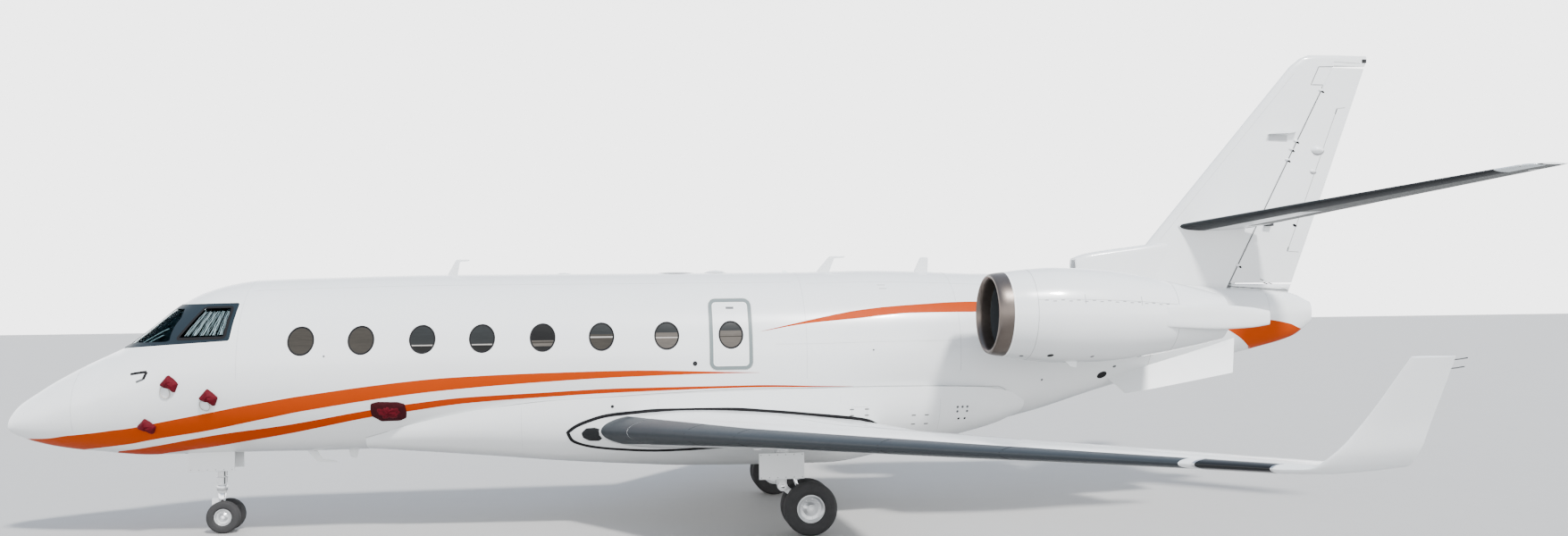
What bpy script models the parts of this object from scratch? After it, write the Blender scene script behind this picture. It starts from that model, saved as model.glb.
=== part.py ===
# Business jet parked on its landing gear. Metres, +Z up, nose towards -X, port side towards -Y.
# A station is a distance aft of the nose tip. Heights are measured from the ground.
import math

import bmesh
import bpy
from mathutils import Matrix, Vector

# Driving dimensions
LENGTH = 19.03
FIN_TOP = 6.45
GAP = 0.0003
SKIN = 0.07
AFT_SKIN = 0.04
AROUND = 28
SIDES = (("port", -1), ("starboard", 1))

# Body of the aircraft: station, half width, height of greatest width, top, bottom
BODY = (
    (0.00, 0.03, 1.40, 1.445, 1.375),
    (0.05, 0.12, 1.41, 1.560, 1.345),
    (0.15, 0.21, 1.44, 1.680, 1.294),
    (0.35, 0.33, 1.49, 1.824, 1.219),
    (0.62, 0.45, 1.56, 1.997, 1.151),
    (0.95, 0.57, 1.65, 2.175, 1.098),
    (1.30, 0.68, 1.75, 2.342, 1.055),
    (1.42, 0.72, 1.79, 2.400, 1.042),
    (1.70, 0.80, 1.86, 2.615, 1.020),
    (2.09, 0.90, 1.96, 2.929, 1.018),
    (2.40, 0.97, 2.03, 3.096, 1.020),
    (2.75, 1.04, 2.09, 3.194, 1.022),
    (3.02, 1.08, 2.12, 3.233, 1.022),
    (3.80, 1.12, 2.15, 3.257, 1.015),
    (5.50, 1.13, 2.18, 3.284, 1.030),
    (9.95, 1.13, 2.18, 3.284, 1.030),
    (11.00, 1.11, 2.20, 3.300, 1.060),
    (11.80, 1.06, 2.21, 3.282, 1.080),
    (12.50, 0.99, 2.23, 3.250, 1.120),
    (13.30, 0.89, 2.28, 3.240, 1.280),
    (14.40, 0.72, 2.38, 3.170, 1.590),
    (15.00, 0.61, 2.45, 3.140, 1.730),
    (16.00, 0.43, 2.54, 3.060, 1.950),
    (16.80, 0.28, 2.60, 2.990, 2.130),
    (17.40, 0.17, 2.64, 2.930, 2.290),
    (17.70, 0.09, 2.66, 2.800, 2.480),
)
RADOME_END = 0.95
NOSE_END = 1.30
COCKPIT_END = 3.02
CABIN_END = 9.95
AFT_END = 15.00
TAIL_END = 17.70

# Windows
WINDOW_STATIONS = (3.77, 4.48, 5.21, 5.93, 6.67, 7.40, 8.22, 9.04)
WINDOW_HEIGHT = 2.46
WINDOW_WIDE = 0.32
WINDOW_TALL = 0.36
EXIT_AT = (8.76, 9.32, 2.01, 2.93)
DOOR_AT = (3.08, 3.92, 1.38, 2.97)
DOOR_CLEARANCE = 0.006
# Door hinge along the skin at the sill: height, radius and the room around it
DOOR_HINGE = (1.380, 0.012, 0.0006)
DOOR_HINGE_INSET = 0.16
DOOR_STEPS = (1.55, 1.85, 2.15, 2.45)
# Glazing band seen from the side: station, height
GLAZING = ((1.10, 2.345), (1.40, 2.375), (2.93, 2.470), (2.98, 2.945), (2.12, 2.930), (1.10, 2.930))
FRAME_DEPTH = 0.030
GLASS_DEPTH = 0.045
# Side pane seen from the side, front pane seen from ahead (distance out, height)
SIDE_PANE = ((2.26, 2.500), (2.86, 2.515), (2.90, 2.890), (2.54, 2.885))
FRONT_PANE = ((0.04, 2.44), (0.80, 2.47), (0.56, 2.87), (0.04, 2.88))
FLOOR_TOP = 1.40
FLOOR_THICK = 0.04
# Cabin seats: station and the way they face, then one seat seen from the side
SEAT_PLACES = ((4.9, 1), (6.3, -1), (7.1, 1), (8.5, -1))
SEAT_SIDE = (
    (-0.25, 1.40),
    (0.27, 1.40),
    (0.27, 1.83),
    (-0.10, 1.83),
    (-0.20, 2.38),
    (-0.32, 2.38),
    (-0.25, 1.83),
)

# Wing to body fairing: station, half width at its top edge, top edge, bottom
FAIRING = (
    (4.45, 0.62, 1.22, 1.040),
    (5.15, 0.88, 1.42, 0.980),
    (6.00, 1.01, 1.58, 0.900),
    (6.90, 1.08, 1.67, 0.810),
    (7.70, 1.12, 1.70, 0.750),
    (8.60, 1.15, 1.73, 0.700),
    (10.40, 1.14, 1.75, 0.680),
    (11.16, 1.11, 1.75, 0.800),
    (11.80, 1.06, 1.74, 0.930),
    (12.30, 0.99, 1.72, 1.030),
    (12.75, 0.91, 1.66, 1.120),
)

# Wing sections: leading edge station, distance out, height, chord, thickness over chord, tilt
WING = (
    (7.33, 1.02, 1.270, 3.62, 0.135, 0),
    (7.77, 1.65, 1.302, 3.20, 0.128, 0),
    (8.83, 3.20, 1.371, 2.22, 0.120, 0),
    (10.60, 5.79, 1.487, 1.50, 0.112, 0),
    (11.87, 7.60, 1.570, 0.98, 0.105, 0),
    (12.34, 8.30, 1.600, 0.82, 0.100, 0),
)
# Winglet sections, same columns, tilt in degrees from flat to upright
WINGLET = (
    (12.34, 8.3003, 1.600, 0.82, 0.100, 0),
    (12.45, 8.45, 1.620, 0.76, 0.095, 20),
    (12.58, 8.56, 1.740, 0.66, 0.090, 55),
    (12.76, 8.65, 1.980, 0.52, 0.085, 70),
    (13.00, 8.83, 2.430, 0.34, 0.080, 70),
)
KINK = 3.20
SLAT_CHORD = 0.09
FLAP_AT = (1.45, 5.70)
AILERON_AT = (5.75, 7.95)
FLAP_HINGE = 0.74
AILERON_HINGE = 0.74

# Fin sections: leading edge station, height, chord, thickness over chord
FIN = (
    (14.55, 2.93, 2.83, 0.115),
    (15.21, 3.68, 2.47, 0.110),
    (17.49, 6.27, 1.20, 0.100),
    (17.66, 6.40, 1.08, 0.095),
    (17.80, FIN_TOP, 0.93, 0.060),
)
RUDDER_HINGE = ((16.42, 3.08), (18.159, 6.26))
# Dorsal air scoop: station, half width, bottom, top
SCOOP = (
    (14.08, 0.13, 3.00, 3.46),
    (14.25, 0.15, 3.00, 3.52),
    (15.05, 0.15, 3.00, 3.63),
    (15.70, 0.10, 3.00, 3.72),
)
# Stabilizer sections, same columns as the wing
STABILIZER = (
    (15.55, 0.00, 3.880, 1.24, 0.100, 0),
    (15.65, 0.12, 3.900, 1.20, 0.100, 0),
    (18.47, 3.30, 4.430, 0.52, 0.090, 0),
    (18.68, 3.43, 4.445, 0.35, 0.060, 0),
)
ELEVATOR_AT = (0.32, 3.15)
ELEVATOR_HINGE = 0.68
HINGE_CLEARANCE = 0.006
HINGE_END = 0.024
HINGE_NOSE = 0.97
HINGE_PIN = 0.010
RUDDER_HEADROOM = 0.034
RUDDER_FOOTROOM = 0.15

# Ventral fins: leading edge station, distance out, height, chord, thickness over chord, tilt
VENTRAL_FIN = (
    (14.20, 0.30, 1.98, 2.16, 0.020, 60),
    (14.55, 0.62, 1.52, 1.60, 0.022, 60),
)
VENTRAL_RISE = 0.16  # per metre aft of VENTRAL_FOOT
VENTRAL_FOOT = 14.30

# Engine: axis and stations
ENGINE_OUT = 1.89
ENGINE_HEIGHT = 2.66
ENGINE_PIVOT = 13.50
ENGINE_NOSE_UP = 1.4
# Nacelle skin: station, outer radius
COWL_OUTSIDE = (
    (12.37, 0.528),
    (12.60, 0.562),
    (13.07, 0.598),
    (13.65, 0.582),
    (14.15, 0.525),
    (14.60, 0.445),
    (15.00, 0.360),
    (15.28, 0.290),
)
COWL_INSIDE = (
    (15.28, 0.275),
    (14.80, 0.330),
    (14.20, 0.420),
    (13.60, 0.470),
    (12.75, 0.470),
    (12.37, 0.430),
)
LIP_SHAPE = (
    (12.3697, 0.430),
    (12.25, 0.435),
    (12.20, 0.455),
    (12.19, 0.478),
    (12.21, 0.500),
    (12.27, 0.516),
    (12.3697, 0.5275),
)
FAN_BLADES = 12
CORE_VANES = 8
# Fan and core: station, hub radius, vane radius, twist in degrees, vane width as a share of the pitch
FAN_ROWS = (
    (12.70, 0.004, 0.006, 0, 0.5),
    (12.76, 0.055, 0.058, 0, 0.5),
    (12.87, 0.128, 0.130, 0, 0.5),
    (12.90, 0.130, 0.458, 0, 0.16),
    (12.96, 0.130, 0.458, 12, 0.16),
    (13.02, 0.130, 0.458, 20, 0.16),
    (13.05, 0.128, 0.130, 20, 0.5),
)
CORE_ROWS = (
    (13.0503, 0.038, 0.040, 0, 0.5),
    (13.07, 0.038, 0.040, 0, 0.5),
    (13.08, 0.228, 0.230, 0, 0.5),
    (13.20, 0.240, 0.242, 0, 0.5),
    (13.21, 0.240, 0.4657, 0, 0.12),
    (13.40, 0.250, 0.4657, 0, 0.12),
    (13.41, 0.250, 0.252, 0, 0.5),
    (14.20, 0.240, 0.242, 0, 0.5),
    (14.80, 0.130, 0.132, 0, 0.5),
    (15.22, 0.010, 0.012, 0, 0.5),
)
# Reverser fairing on the outer side: station, inner and outer distance from the axis, half height
STANG = (
    (14.35, 0.40, 0.49, 0.14),
    (15.00, 0.335, 0.47, 0.155),
    (15.50, 0.310, 0.41, 0.13),
    (15.80, 0.300, 0.34, 0.09),
)
# Pylon, same columns as the wing
PYLON = (
    (12.75, 0.50, 2.60, 2.45, 0.085, 0),
    (13.05, 1.60, 2.62, 2.15, 0.085, 0),
)

# Landing gear
NOSE_GEAR = 2.55
NOSE_TYRE = (0.205, 0.055, 0.118)
NOSE_TRAIL = 0.05
MAIN_GEAR = 9.93
MAIN_OUT = 1.65
MAIN_TYRE = (0.330, 0.085, 0.132)
MAIN_STRUT = 9.60
MAIN_PIVOT_HEIGHT = 0.60
LEG_SOCKET = 1.19

# Jacking pads, flat below: station, distance out, bottom, and top inside their carrier
JACK_RADIUS = 0.045
NOSE_JACK = (1.14, 0.0, 1.055, 1.120)
WING_JACK = (9.20, 2.45, 1.145, 1.250)

parts = None
cutters = None


def clear_scene():
    for item in list(bpy.data.objects):
        bpy.data.objects.remove(item)


def collection(name):
    made = bpy.data.collections.new(name)
    bpy.context.scene.collection.children.link(made)
    return made


def at(station, out, height):
    return Vector((station - LENGTH / 2, out, height))


def paint(name, colour, roughness, metallic=0.0):
    made = bpy.data.materials.new(name)
    made.use_nodes = True
    shader = made.node_tree.nodes["Principled BSDF"]
    shader.inputs["Base Color"].default_value = (*colour, 1.0)
    shader.inputs["Roughness"].default_value = roughness
    shader.inputs["Metallic"].default_value = metallic
    made.diffuse_color = (*colour, 1.0)
    return made


WHITE = (0.83, 0.84, 0.85)
GREY = (0.33, 0.36, 0.38)
DARK_METAL = (0.20, 0.18, 0.17)
STEEL = (0.55, 0.56, 0.58)
BLACK = (0.02, 0.02, 0.02)
GLASS = (0.10, 0.13, 0.16)
LEATHER = (0.55, 0.47, 0.38)
# Finish: colour, roughness, metallic
WHITE_PAINT = (WHITE, 0.25, 0.0)
GREY_METAL = (GREY, 0.45, 0.6)
BARE_METAL = (STEEL, 0.35, 1.0)
LIP_METAL = (DARK_METAL, 0.35, 0.9)
RUBBER = (BLACK, 0.85, 0.0)
TINTED = (GLASS, 0.08, 0.0)
TRIM = (LEATHER, 0.6, 0.0)
DARK_TRIM = ((0.06, 0.065, 0.07), 0.7, 0.0)


def mesh_object(name, mesh, finish=None):
    made = bpy.data.objects.new(name, mesh)
    if finish is None:
        cutters.objects.link(made)
        made.hide_render = True
        made.display_type = "WIRE"
    else:
        parts.objects.link(made)
        mesh.materials.clear()
        mesh.materials.append(paint(name, *finish))
    return made


def from_bmesh(name, shape, finish=None, smooth=40):
    bmesh.ops.recalc_face_normals(shape, faces=shape.faces)
    mesh = bpy.data.meshes.new(name)
    shape.to_mesh(mesh)
    shape.free()
    mesh.shade_smooth()
    mesh.set_sharp_from_angle(angle=math.radians(smooth))
    return mesh_object(name, mesh, finish)


def combine(target, tool, operation):
    """Boolean the tool into the target, bake the result and drop the tool."""
    step = target.modifiers.new(operation, "BOOLEAN")
    step.operation = operation
    step.solver = "EXACT"
    step.object = tool
    bpy.context.view_layer.update()
    ready = target.evaluated_get(bpy.context.evaluated_depsgraph_get())
    baked = bpy.data.meshes.new_from_object(ready)
    target.modifiers.clear()
    target.data = baked
    bpy.data.objects.remove(tool)
    return target


def cut(target, *tools):
    for tool in tools:
        combine(target, tool, "DIFFERENCE")
    return target


def join(target, *tools):
    for tool in tools:
        combine(target, tool, "UNION")
    return target


def keep(target, tool):
    return combine(target, tool, "INTERSECT")


def loft(name, rings, finish=None, closed=False, smooth=40):
    """Skin a row of rings of equal count, capped at the ends or joined into a closed row.

    Each cell is split along the same diagonal whichever way the row runs, so that touching skins match."""
    shape = bmesh.new()
    rows = [[shape.verts.new(point) for point in ring] for ring in rings]
    pairs = list(zip(rows, rows[1:]))
    if closed:
        pairs.append((rows[-1], rows[0]))
    for one, two in pairs:
        forward = sum(point.co.x for point in one) <= sum(point.co.x for point in two)
        for i in range(len(one)):
            j = (i + 1) % len(one)
            if forward:
                shape.faces.new((one[i], one[j], two[j]))
                shape.faces.new((one[i], two[j], two[i]))
            else:
                shape.faces.new((one[i], one[j], two[i]))
                shape.faces.new((one[j], two[j], two[i]))
    if not closed:
        shape.faces.new(rows[0])
        shape.faces.new(rows[-1])
    return from_bmesh(name, shape, finish, smooth)


def prism(name, outline, low, high, finish=None):
    """Extrude a side view outline of (station, height) from one distance out to another."""
    rings = [[at(s, out, z) for s, z in outline] for out in (low, high)]
    return loft(name, rings, finish)


def plan_prism(name, outline, low, high):
    """Extrude a plan view outline of (station, distance out) from one height to another."""
    return loft(name, [[at(s, out, z) for s, out in outline] for z in (low, high)])


def block(name, low, high, finish=None):
    """Box between two corners given as station, distance out, height."""
    shape = bmesh.new()
    bmesh.ops.create_cube(shape, size=1.0)
    size = [h - l for l, h in zip(low, high)]
    middle = at(*[(l + h) / 2 for l, h in zip(low, high)])
    bmesh.ops.scale(shape, vec=size, verts=shape.verts)
    bmesh.ops.translate(shape, vec=middle, verts=shape.verts)
    return from_bmesh(name, shape, finish, 30)


def rod(name, start, end, radius, end_radius=None, finish=None, segments=12):
    """Round bar or cone between two points."""
    axis = end - start
    shape = bmesh.new()
    second = radius if end_radius is None else end_radius
    bmesh.ops.create_cone(shape, cap_ends=True, segments=segments, radius1=radius, radius2=second,
                          depth=axis.length)
    turn = axis.to_track_quat("Z", "Y").to_matrix().to_4x4()
    bmesh.ops.transform(shape, matrix=Matrix.Translation((start + end) / 2) @ turn, verts=shape.verts)
    return from_bmesh(name, shape, finish, 50)


def turned(name, start, end, profile, segments=12):
    """Turned shape between two points: (distance from the start, or from the end if from_end; radius)."""
    axis = (end - start).normalized()
    across = axis.orthogonal().normalized()
    other = axis.cross(across)
    rings = []
    for from_end, distance, radius in profile:
        centre = (end if from_end else start) + axis * distance
        ring = []
        for i in range(segments):
            turn = 2 * math.pi * (i + 0.3) / segments
            ring.append(centre + (across * math.cos(turn) + other * math.sin(turn)) * radius)
        rings.append(ring)
    return loft(name, rings)


def hinge_nose(start, end, first, second, pin_start=True):
    """Round nose of a hinged surface with a pin at its ends, reaching its carrier."""
    reach = HINGE_END - GAP
    pins = [min(HINGE_PIN, thick * 0.5) for thick in (first, second)]
    first, second = first * HINGE_NOSE, second * HINGE_NOSE
    profile = [(False, 0.004, first), (True, -0.004, second), (True, -0.004, pins[1]), (True, reach, pins[1])]
    if pin_start:
        profile = [(False, -reach, pins[0]), (False, 0.004, pins[0])] + profile
    return turned("nose", start, end, profile)


def cove(inner, outer, first, second, before):
    """Round hollow that a hinge nose turns in, with room before its first end and after its second."""
    span = outer - inner
    axis = span.normalized()
    taper = (second - first) / span.length
    return rod("cove", inner - axis * before, outer + axis * HINGE_END,
               first - taper * before + HINGE_CLEARANCE, second + taper * HINGE_END + HINGE_CLEARANCE,
               segments=24)


def oval(name, station, height, wide, tall, low, high, count=12):
    outline = []
    for i in range(count):
        turn = 2 * math.pi * i / count
        outline.append((station + wide / 2 * math.cos(turn), height + tall / 2 * math.sin(turn)))
    return prism(name, outline, low, high)


def shrink(outline, by):
    """Move each corner of an outline towards its middle."""
    middle = [sum(point[k] for point in outline) / len(outline) for k in (0, 1)]
    moved = []
    for point in outline:
        dx, dy = point[0] - middle[0], point[1] - middle[1]
        reach = math.hypot(dx, dy)
        moved.append((point[0] - dx / reach * by, point[1] - dy / reach * by))
    return moved


def rounded(low_s, high_s, low_z, high_z, radius, count=4, square_foot=False):
    """Outline of a rectangle with round corners, as station and height."""
    outline = []
    for corner, (s, z) in enumerate(((high_s, high_z), (low_s, high_z), (low_s, low_z), (high_s, low_z))):
        if square_foot and corner > 1:
            outline.append((s, z))
            continue
        centre_s = s - radius if s == high_s else s + radius
        centre_z = z - radius if z == high_z else z + radius
        for i in range(count + 1):
            turn = math.radians(90 * corner + 90 * i / count)
            outline.append((centre_s + radius * math.cos(turn), centre_z + radius * math.sin(turn)))
    return outline


def jack_pad(station, out, bottom, top):
    return rod("jack_pad", at(station, out, bottom), at(station, out, top), JACK_RADIUS, segments=24)


# Fuselage

def body_row(station):
    """Half width, height of greatest width, top and bottom of the body at a station."""
    for one, two in zip(BODY, BODY[1:]):
        if one[0] <= station <= two[0]:
            share = (station - one[0]) / (two[0] - one[0])
            return [a + (b - a) * share for a, b in zip(one[1:], two[1:])]
    return list(BODY[-1][1:])


def body_ring(station, inset):
    wide, middle, top, bottom = body_row(station)
    ring = []
    for i in range(AROUND):
        turn = 2 * math.pi * i / AROUND
        out = (wide - inset) * math.sin(turn)
        reach = top - inset - middle if math.cos(turn) > 0 else middle - bottom - inset
        ring.append(at(station, out, middle + reach * math.cos(turn)))
    return ring


def body_stations(start, end):
    inner = [row[0] for row in BODY if start + 0.01 < row[0] < end - 0.01]
    return [start, *inner, end]


def body_solid(name, start, end, inset, finish=None):
    return loft(name, [body_ring(s, inset) for s in body_stations(start, end)], finish)


def body_shell(name, start, end, outer, inner, finish=None):
    """Tube with both ends open."""
    stations = body_stations(start, end)
    rings = [body_ring(s, outer) for s in stations]
    rings += [body_ring(s, inner) for s in reversed(stations)]
    return loft(name, rings, finish, closed=True)


def body_cup(name, start, end, wall, open_front, finish):
    """Hollow section with one end open and the other closed by its own bulkhead."""
    stations = body_stations(start, end)
    cup = [body_ring(s, 0) for s in stations]
    if open_front:
        inner = [s for s in stations if s < end - wall] + [end - wall]
        cup = cup[::-1] + [body_ring(s, wall) for s in inner]
    else:
        inner = [start + wall] + [s for s in stations if s > start + wall]
        cup = cup + [body_ring(s, wall) for s in reversed(inner)]
    return loft(name, cup, finish)


def window_cutters(side, shrink_by=0.0, skip=()):
    made = []
    for number, station in enumerate(WINDOW_STATIONS):
        if number not in skip:
            low, high = sorted((side * 0.7, side * 1.3))
            made.append(oval("window", station, WINDOW_HEIGHT, WINDOW_WIDE - shrink_by,
                             WINDOW_TALL - shrink_by, low, high))
    return made


def fuselage():
    body_cup("radome", 0.0, RADOME_END - GAP, 0.05, False, WHITE_PAINT)
    nose = body_shell("nose_section", RADOME_END, NOSE_END - GAP, 0, SKIN, WHITE_PAINT)
    join(nose, jack_pad(*NOSE_JACK))
    cockpit = body_shell("cockpit_section", NOSE_END, COCKPIT_END - GAP, 0, SKIN, WHITE_PAINT)
    cut(cockpit, prism("glazing_cut", GLAZING, -1.5, 1.5))
    cut(cockpit, block("nose_bay_cut", (2.15, -0.19, 0.9), (2.78, 0.19, 1.34)))
    cabin = body_cup("cabin_section", COCKPIT_END, CABIN_END - GAP, SKIN, True, WHITE_PAINT)
    cut(cabin, prism("door_cut", rounded(*DOOR_AT, 0.12, square_foot=True), 0.3, 1.4))
    cut(cabin, prism("exit_cut", rounded(*EXIT_AT, 0.10), -1.4, -0.7))
    for name, side in SIDES:
        skip = (0,) if side > 0 else (7,)
        cut(cabin, *window_cutters(side, skip=skip))
    body_cup("aft_fuselage", CABIN_END, AFT_END - GAP, AFT_SKIN, True, WHITE_PAINT)
    body_cup("tail_cone", AFT_END, TAIL_END, AFT_SKIN, True, WHITE_PAINT)
    return cabin


def glazing():
    frame = body_shell("windshield_frame", 1.30, 3.02, 0.002, FRAME_DEPTH, DARK_TRIM)
    keep(frame, prism("band", shrink(GLAZING, 0.002), -1.5, 1.5))
    for side in (-1, 1):
        cut(frame, prism("side_pane", SIDE_PANE, *sorted((side * 0.5, side * 1.5))))
        ring = [[at(s, side * out, z) for out, z in FRONT_PANE] for s in (1.2, 2.25)]
        cut(frame, loft("front_pane", ring))
    glass = body_shell("cockpit_glass", 1.30, 3.02, FRAME_DEPTH + GAP, GLASS_DEPTH, TINTED)
    keep(glass, prism("band", shrink(GLAZING, 0.002), -1.5, 1.5))


def window_rows():
    for name, side in SIDES:
        skip = (0,) if side > 0 else ()
        row = body_shell(name + "_windows", 3.02, 11.0, SKIN + GAP, SKIN + 0.02, TINTED)
        ends = (4.2 if side > 0 else 3.5, 9.30)
        low, high = sorted((side * 0.7, side * 1.3))
        keep(row, block("strip", (ends[0], low, 2.22), (ends[1], high, 2.70)))
        for pane in window_cutters(side, shrink_by=0.0012, skip=skip):
            plug = body_shell("plug", 3.02, 11.0, 0.012, SKIN + 0.01)
            keep(pane, plug)
            join(row, pane)


def skin_out(station, height):
    """Distance out of the skin at a station and height."""
    wide, middle, top, bottom = body_row(station)
    reach = top - middle if height > middle else middle - bottom
    return wide * math.sqrt(1 - ((height - middle) / reach) ** 2)


def entry_door(cabin):
    door = body_shell("entry_door", COCKPIT_END, 5.50, 0.0, SKIN, WHITE_PAINT)
    s0, s1, z0, z1 = DOOR_AT
    c = DOOR_CLEARANCE
    outline = rounded(s0 + c, s1 - c, z0 + c, z1 - c, 0.12 - c, square_foot=True)
    keep(door, prism("door_shape", outline, 0.3, 1.4))
    for height in DOOR_STEPS:
        reach = skin_out((s0 + s1) / 2, height)
        join(door, block("step", (s0 + 0.12, reach - 0.27, height), (s1 - 0.12, reach - 0.04, height + 0.03)))
    height, radius, room = DOOR_HINGE
    ends = [at(s, skin_out(s, height), height) for s in (s0 + DOOR_HINGE_INSET, s1 - DOOR_HINGE_INSET)]
    cut(cabin, rod("hinge_seat", *ends, radius + room, segments=24))
    play = Vector((room, 0, 0))
    join(door, rod("hinge", ends[0] + play, ends[1] - play, radius, segments=24))


def overwing_exit():
    hatch = body_shell("overwing_exit", 5.50, 9.95, 0.0, SKIN, WHITE_PAINT)
    s0, s1, z0, z1 = EXIT_AT
    c = 0.0012
    keep(hatch, prism("hatch_shape", rounded(s0 + c, s1 - c, z0 + c, z1 - c, 0.10 - c), -1.4, -0.7))
    cut(hatch, oval("hatch_window", WINDOW_STATIONS[7], WINDOW_HEIGHT, WINDOW_WIDE, WINDOW_TALL, -1.4, -0.7))


def cabin_inside():
    floor = block("cabin_floor", (1.75, -1.2, FLOOR_TOP - FLOOR_THICK), (9.85, 1.2, FLOOR_TOP), GREY_METAL)
    for side in (-1, 1):
        low, high = sorted((side * 0.36, side * 1.2))
        join(floor, block("divider", (3.03, low, FLOOR_TOP - 0.01), (3.06, high, 3.3)))
    keep(floor, body_solid("inside", 1.30, CABIN_END - SKIN - GAP, SKIN + GAP))
    cut(floor, block("door_step", (DOOR_AT[0] - 0.03, 0.66, 1.3), (DOOR_AT[1] + 0.03, 1.3, 1.5)))

    panel = block("instrument_panel", (1.98, -0.9, 1.90), (2.06, 0.9, 2.30), DARK_TRIM)
    join(panel, block("glareshield", (1.80, -0.9, 2.28), (2.10, 0.9, 2.32)))
    join(panel, block("pedestal", (2.00, -0.13, FLOOR_TOP + GAP), (2.60, 0.13, 1.93)))
    keep(panel, body_solid("inside", 1.30, COCKPIT_END, SKIN + 0.012))

    for name, side in SIDES:
        seat = block("pilot_seat_" + name, (2.52, side * 0.42 - 0.16, FLOOR_TOP + GAP),
                     (2.82, side * 0.42 + 0.16, 1.66), TRIM)
        join(seat, block("cushion", (2.42, side * 0.42 - 0.22, 1.65), (2.90, side * 0.42 + 0.22, 1.78)))
        back = ((2.80, 1.70), (2.92, 1.70), (3.01, 2.50), (2.93, 2.52))
        join(seat, prism("back", back, side * 0.42 - 0.20, side * 0.42 + 0.20))

    seats = block("cabin_seats", (4.45, 0.41, FLOOR_TOP + GAP), (8.95, 0.45, FLOOR_TOP + 0.03), TRIM)
    join(seats, block("port_rail", (4.45, -0.45, FLOOR_TOP + GAP), (8.95, -0.41, FLOOR_TOP + 0.03)))
    for station in (4.50, 8.85):
        join(seats, block("cross", (station, -0.43, FLOOR_TOP + GAP),
                          (station + 0.04, 0.43, FLOOR_TOP + 0.03)))
    for station, facing in SEAT_PLACES:
        shape = [(station + facing * s, z + 0.01) for s, z in SEAT_SIDE]
        for side in (-1, 1):
            join(seats, prism("seat", shape, side * 0.43 - 0.22, side * 0.43 + 0.22))


def fairing_ring(row, grow):
    station, wide, top, bottom = row
    ring = []
    for i in range(17):
        turn = math.pi * i / 16
        out = (wide + grow) * math.copysign(abs(math.cos(turn)) ** 0.75, math.cos(turn))
        ring.append(at(station, out, top - (top - bottom + grow) * math.sin(turn) ** 0.75))
    ring.append(at(station, -wide * 0.4, top))
    ring.append(at(station, wide * 0.4, top))
    return ring


def fairing_solid(name, grow, finish=None):
    return loft(name, [fairing_ring(row, grow) for row in FAIRING], finish)


def belly_fairing():
    fairing = fairing_solid("belly_fairing", 0.0, WHITE_PAINT)
    cut(fairing, body_solid("body", 3.02, 15.0, -GAP))


# Wings and tail

def foil_ring(row, side, grow=0.0, count=8):
    """Closed section outline of a wing-like surface, from leading edge over the top and back below."""
    station, out, height, chord, thick, tilt = row
    turn = math.radians(tilt)
    up = Vector((0, -side * math.sin(turn), math.cos(turn)))
    front = at(station - grow, side * out, height)
    chord = chord + 2 * grow
    ring = []
    for face in (1, -1):
        for i in range(count):
            share = i / count if face > 0 else 1 - i / count
            along = share ** 1.6
            half = 5 * thick * (0.2969 * math.sqrt(along) - 0.126 * along - 0.3516 * along ** 2
                                + 0.2843 * along ** 3 - 0.1015 * along ** 4) * chord
            half = half + grow + 0.003 * along
            half = 0.0 if along == 0 else half
            ring.append(front + Vector((along * chord, 0, 0)) + face * half * up)
    ring.insert(count, front + Vector((chord, 0, 0)) + 0.004 * up)
    return ring


def foil(name, rows, side, finish=None, grow=0.0):
    return loft(name, [foil_ring(row, side, grow) for row in rows], finish)


def foil_at(rows, out):
    """Interpolated section of a surface at a distance out."""
    for one, two in zip(rows, rows[1:]):
        if one[1] <= out <= two[1]:
            share = (out - one[1]) / (two[1] - one[1])
            return [a + (b - a) * share for a, b in zip(one, two)]
    return list(rows[-1])


def half_thickness(row, share):
    chord, thick = row[3], row[4]
    return 5 * thick * chord * (0.2969 * math.sqrt(share) - 0.126 * share - 0.3516 * share ** 2
                                + 0.2843 * share ** 3 - 0.1015 * share ** 4)


def span_hinge(rows, span, share, side):
    """Hinge line of a trailing surface: its two ends and the half thickness there."""
    ends = []
    for out in span:
        row = foil_at(rows, out)
        ends.append((at(row[0] + row[3] * share, side * out, row[2]), half_thickness(row, share)))
    return ends


def trailing_prism(name, rows, span, share, side, spare):
    """Plan view cutter aft of a hinge line, over a stretch of the span."""
    outline = []
    for out, sign in zip(span, (-1, 1)):
        row = foil_at(rows, out)
        outline.append((row[0] + row[3] * share, side * (out + sign * spare)))
    last = [foil_at(rows, out) for out in reversed(span)]
    for row, sign in zip(last, (1, -1)):
        outline.append((row[0] + row[3] + 0.3, side * (row[1] + sign * spare)))
    return plan_prism(name, outline, 0.5, 5.5)


def hinged_surface(name, carrier, whole, rows, span, share, side):
    """Cut a trailing surface with a round nose out of its carrier. The whole is a spare copy of both."""
    (inner, thick_in), (outer, thick_out) = span_hinge(rows, span, share, side)
    surface = keep(whole, trailing_prism("surface", rows, span, share, side, 0.0))
    join(surface, hinge_nose(inner, outer, thick_in, thick_out))
    surface.name = name
    cut(carrier, trailing_prism("cove", rows, span, share, side, HINGE_END))
    cut(carrier, cove(inner, outer, thick_in, thick_out, HINGE_END))


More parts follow.
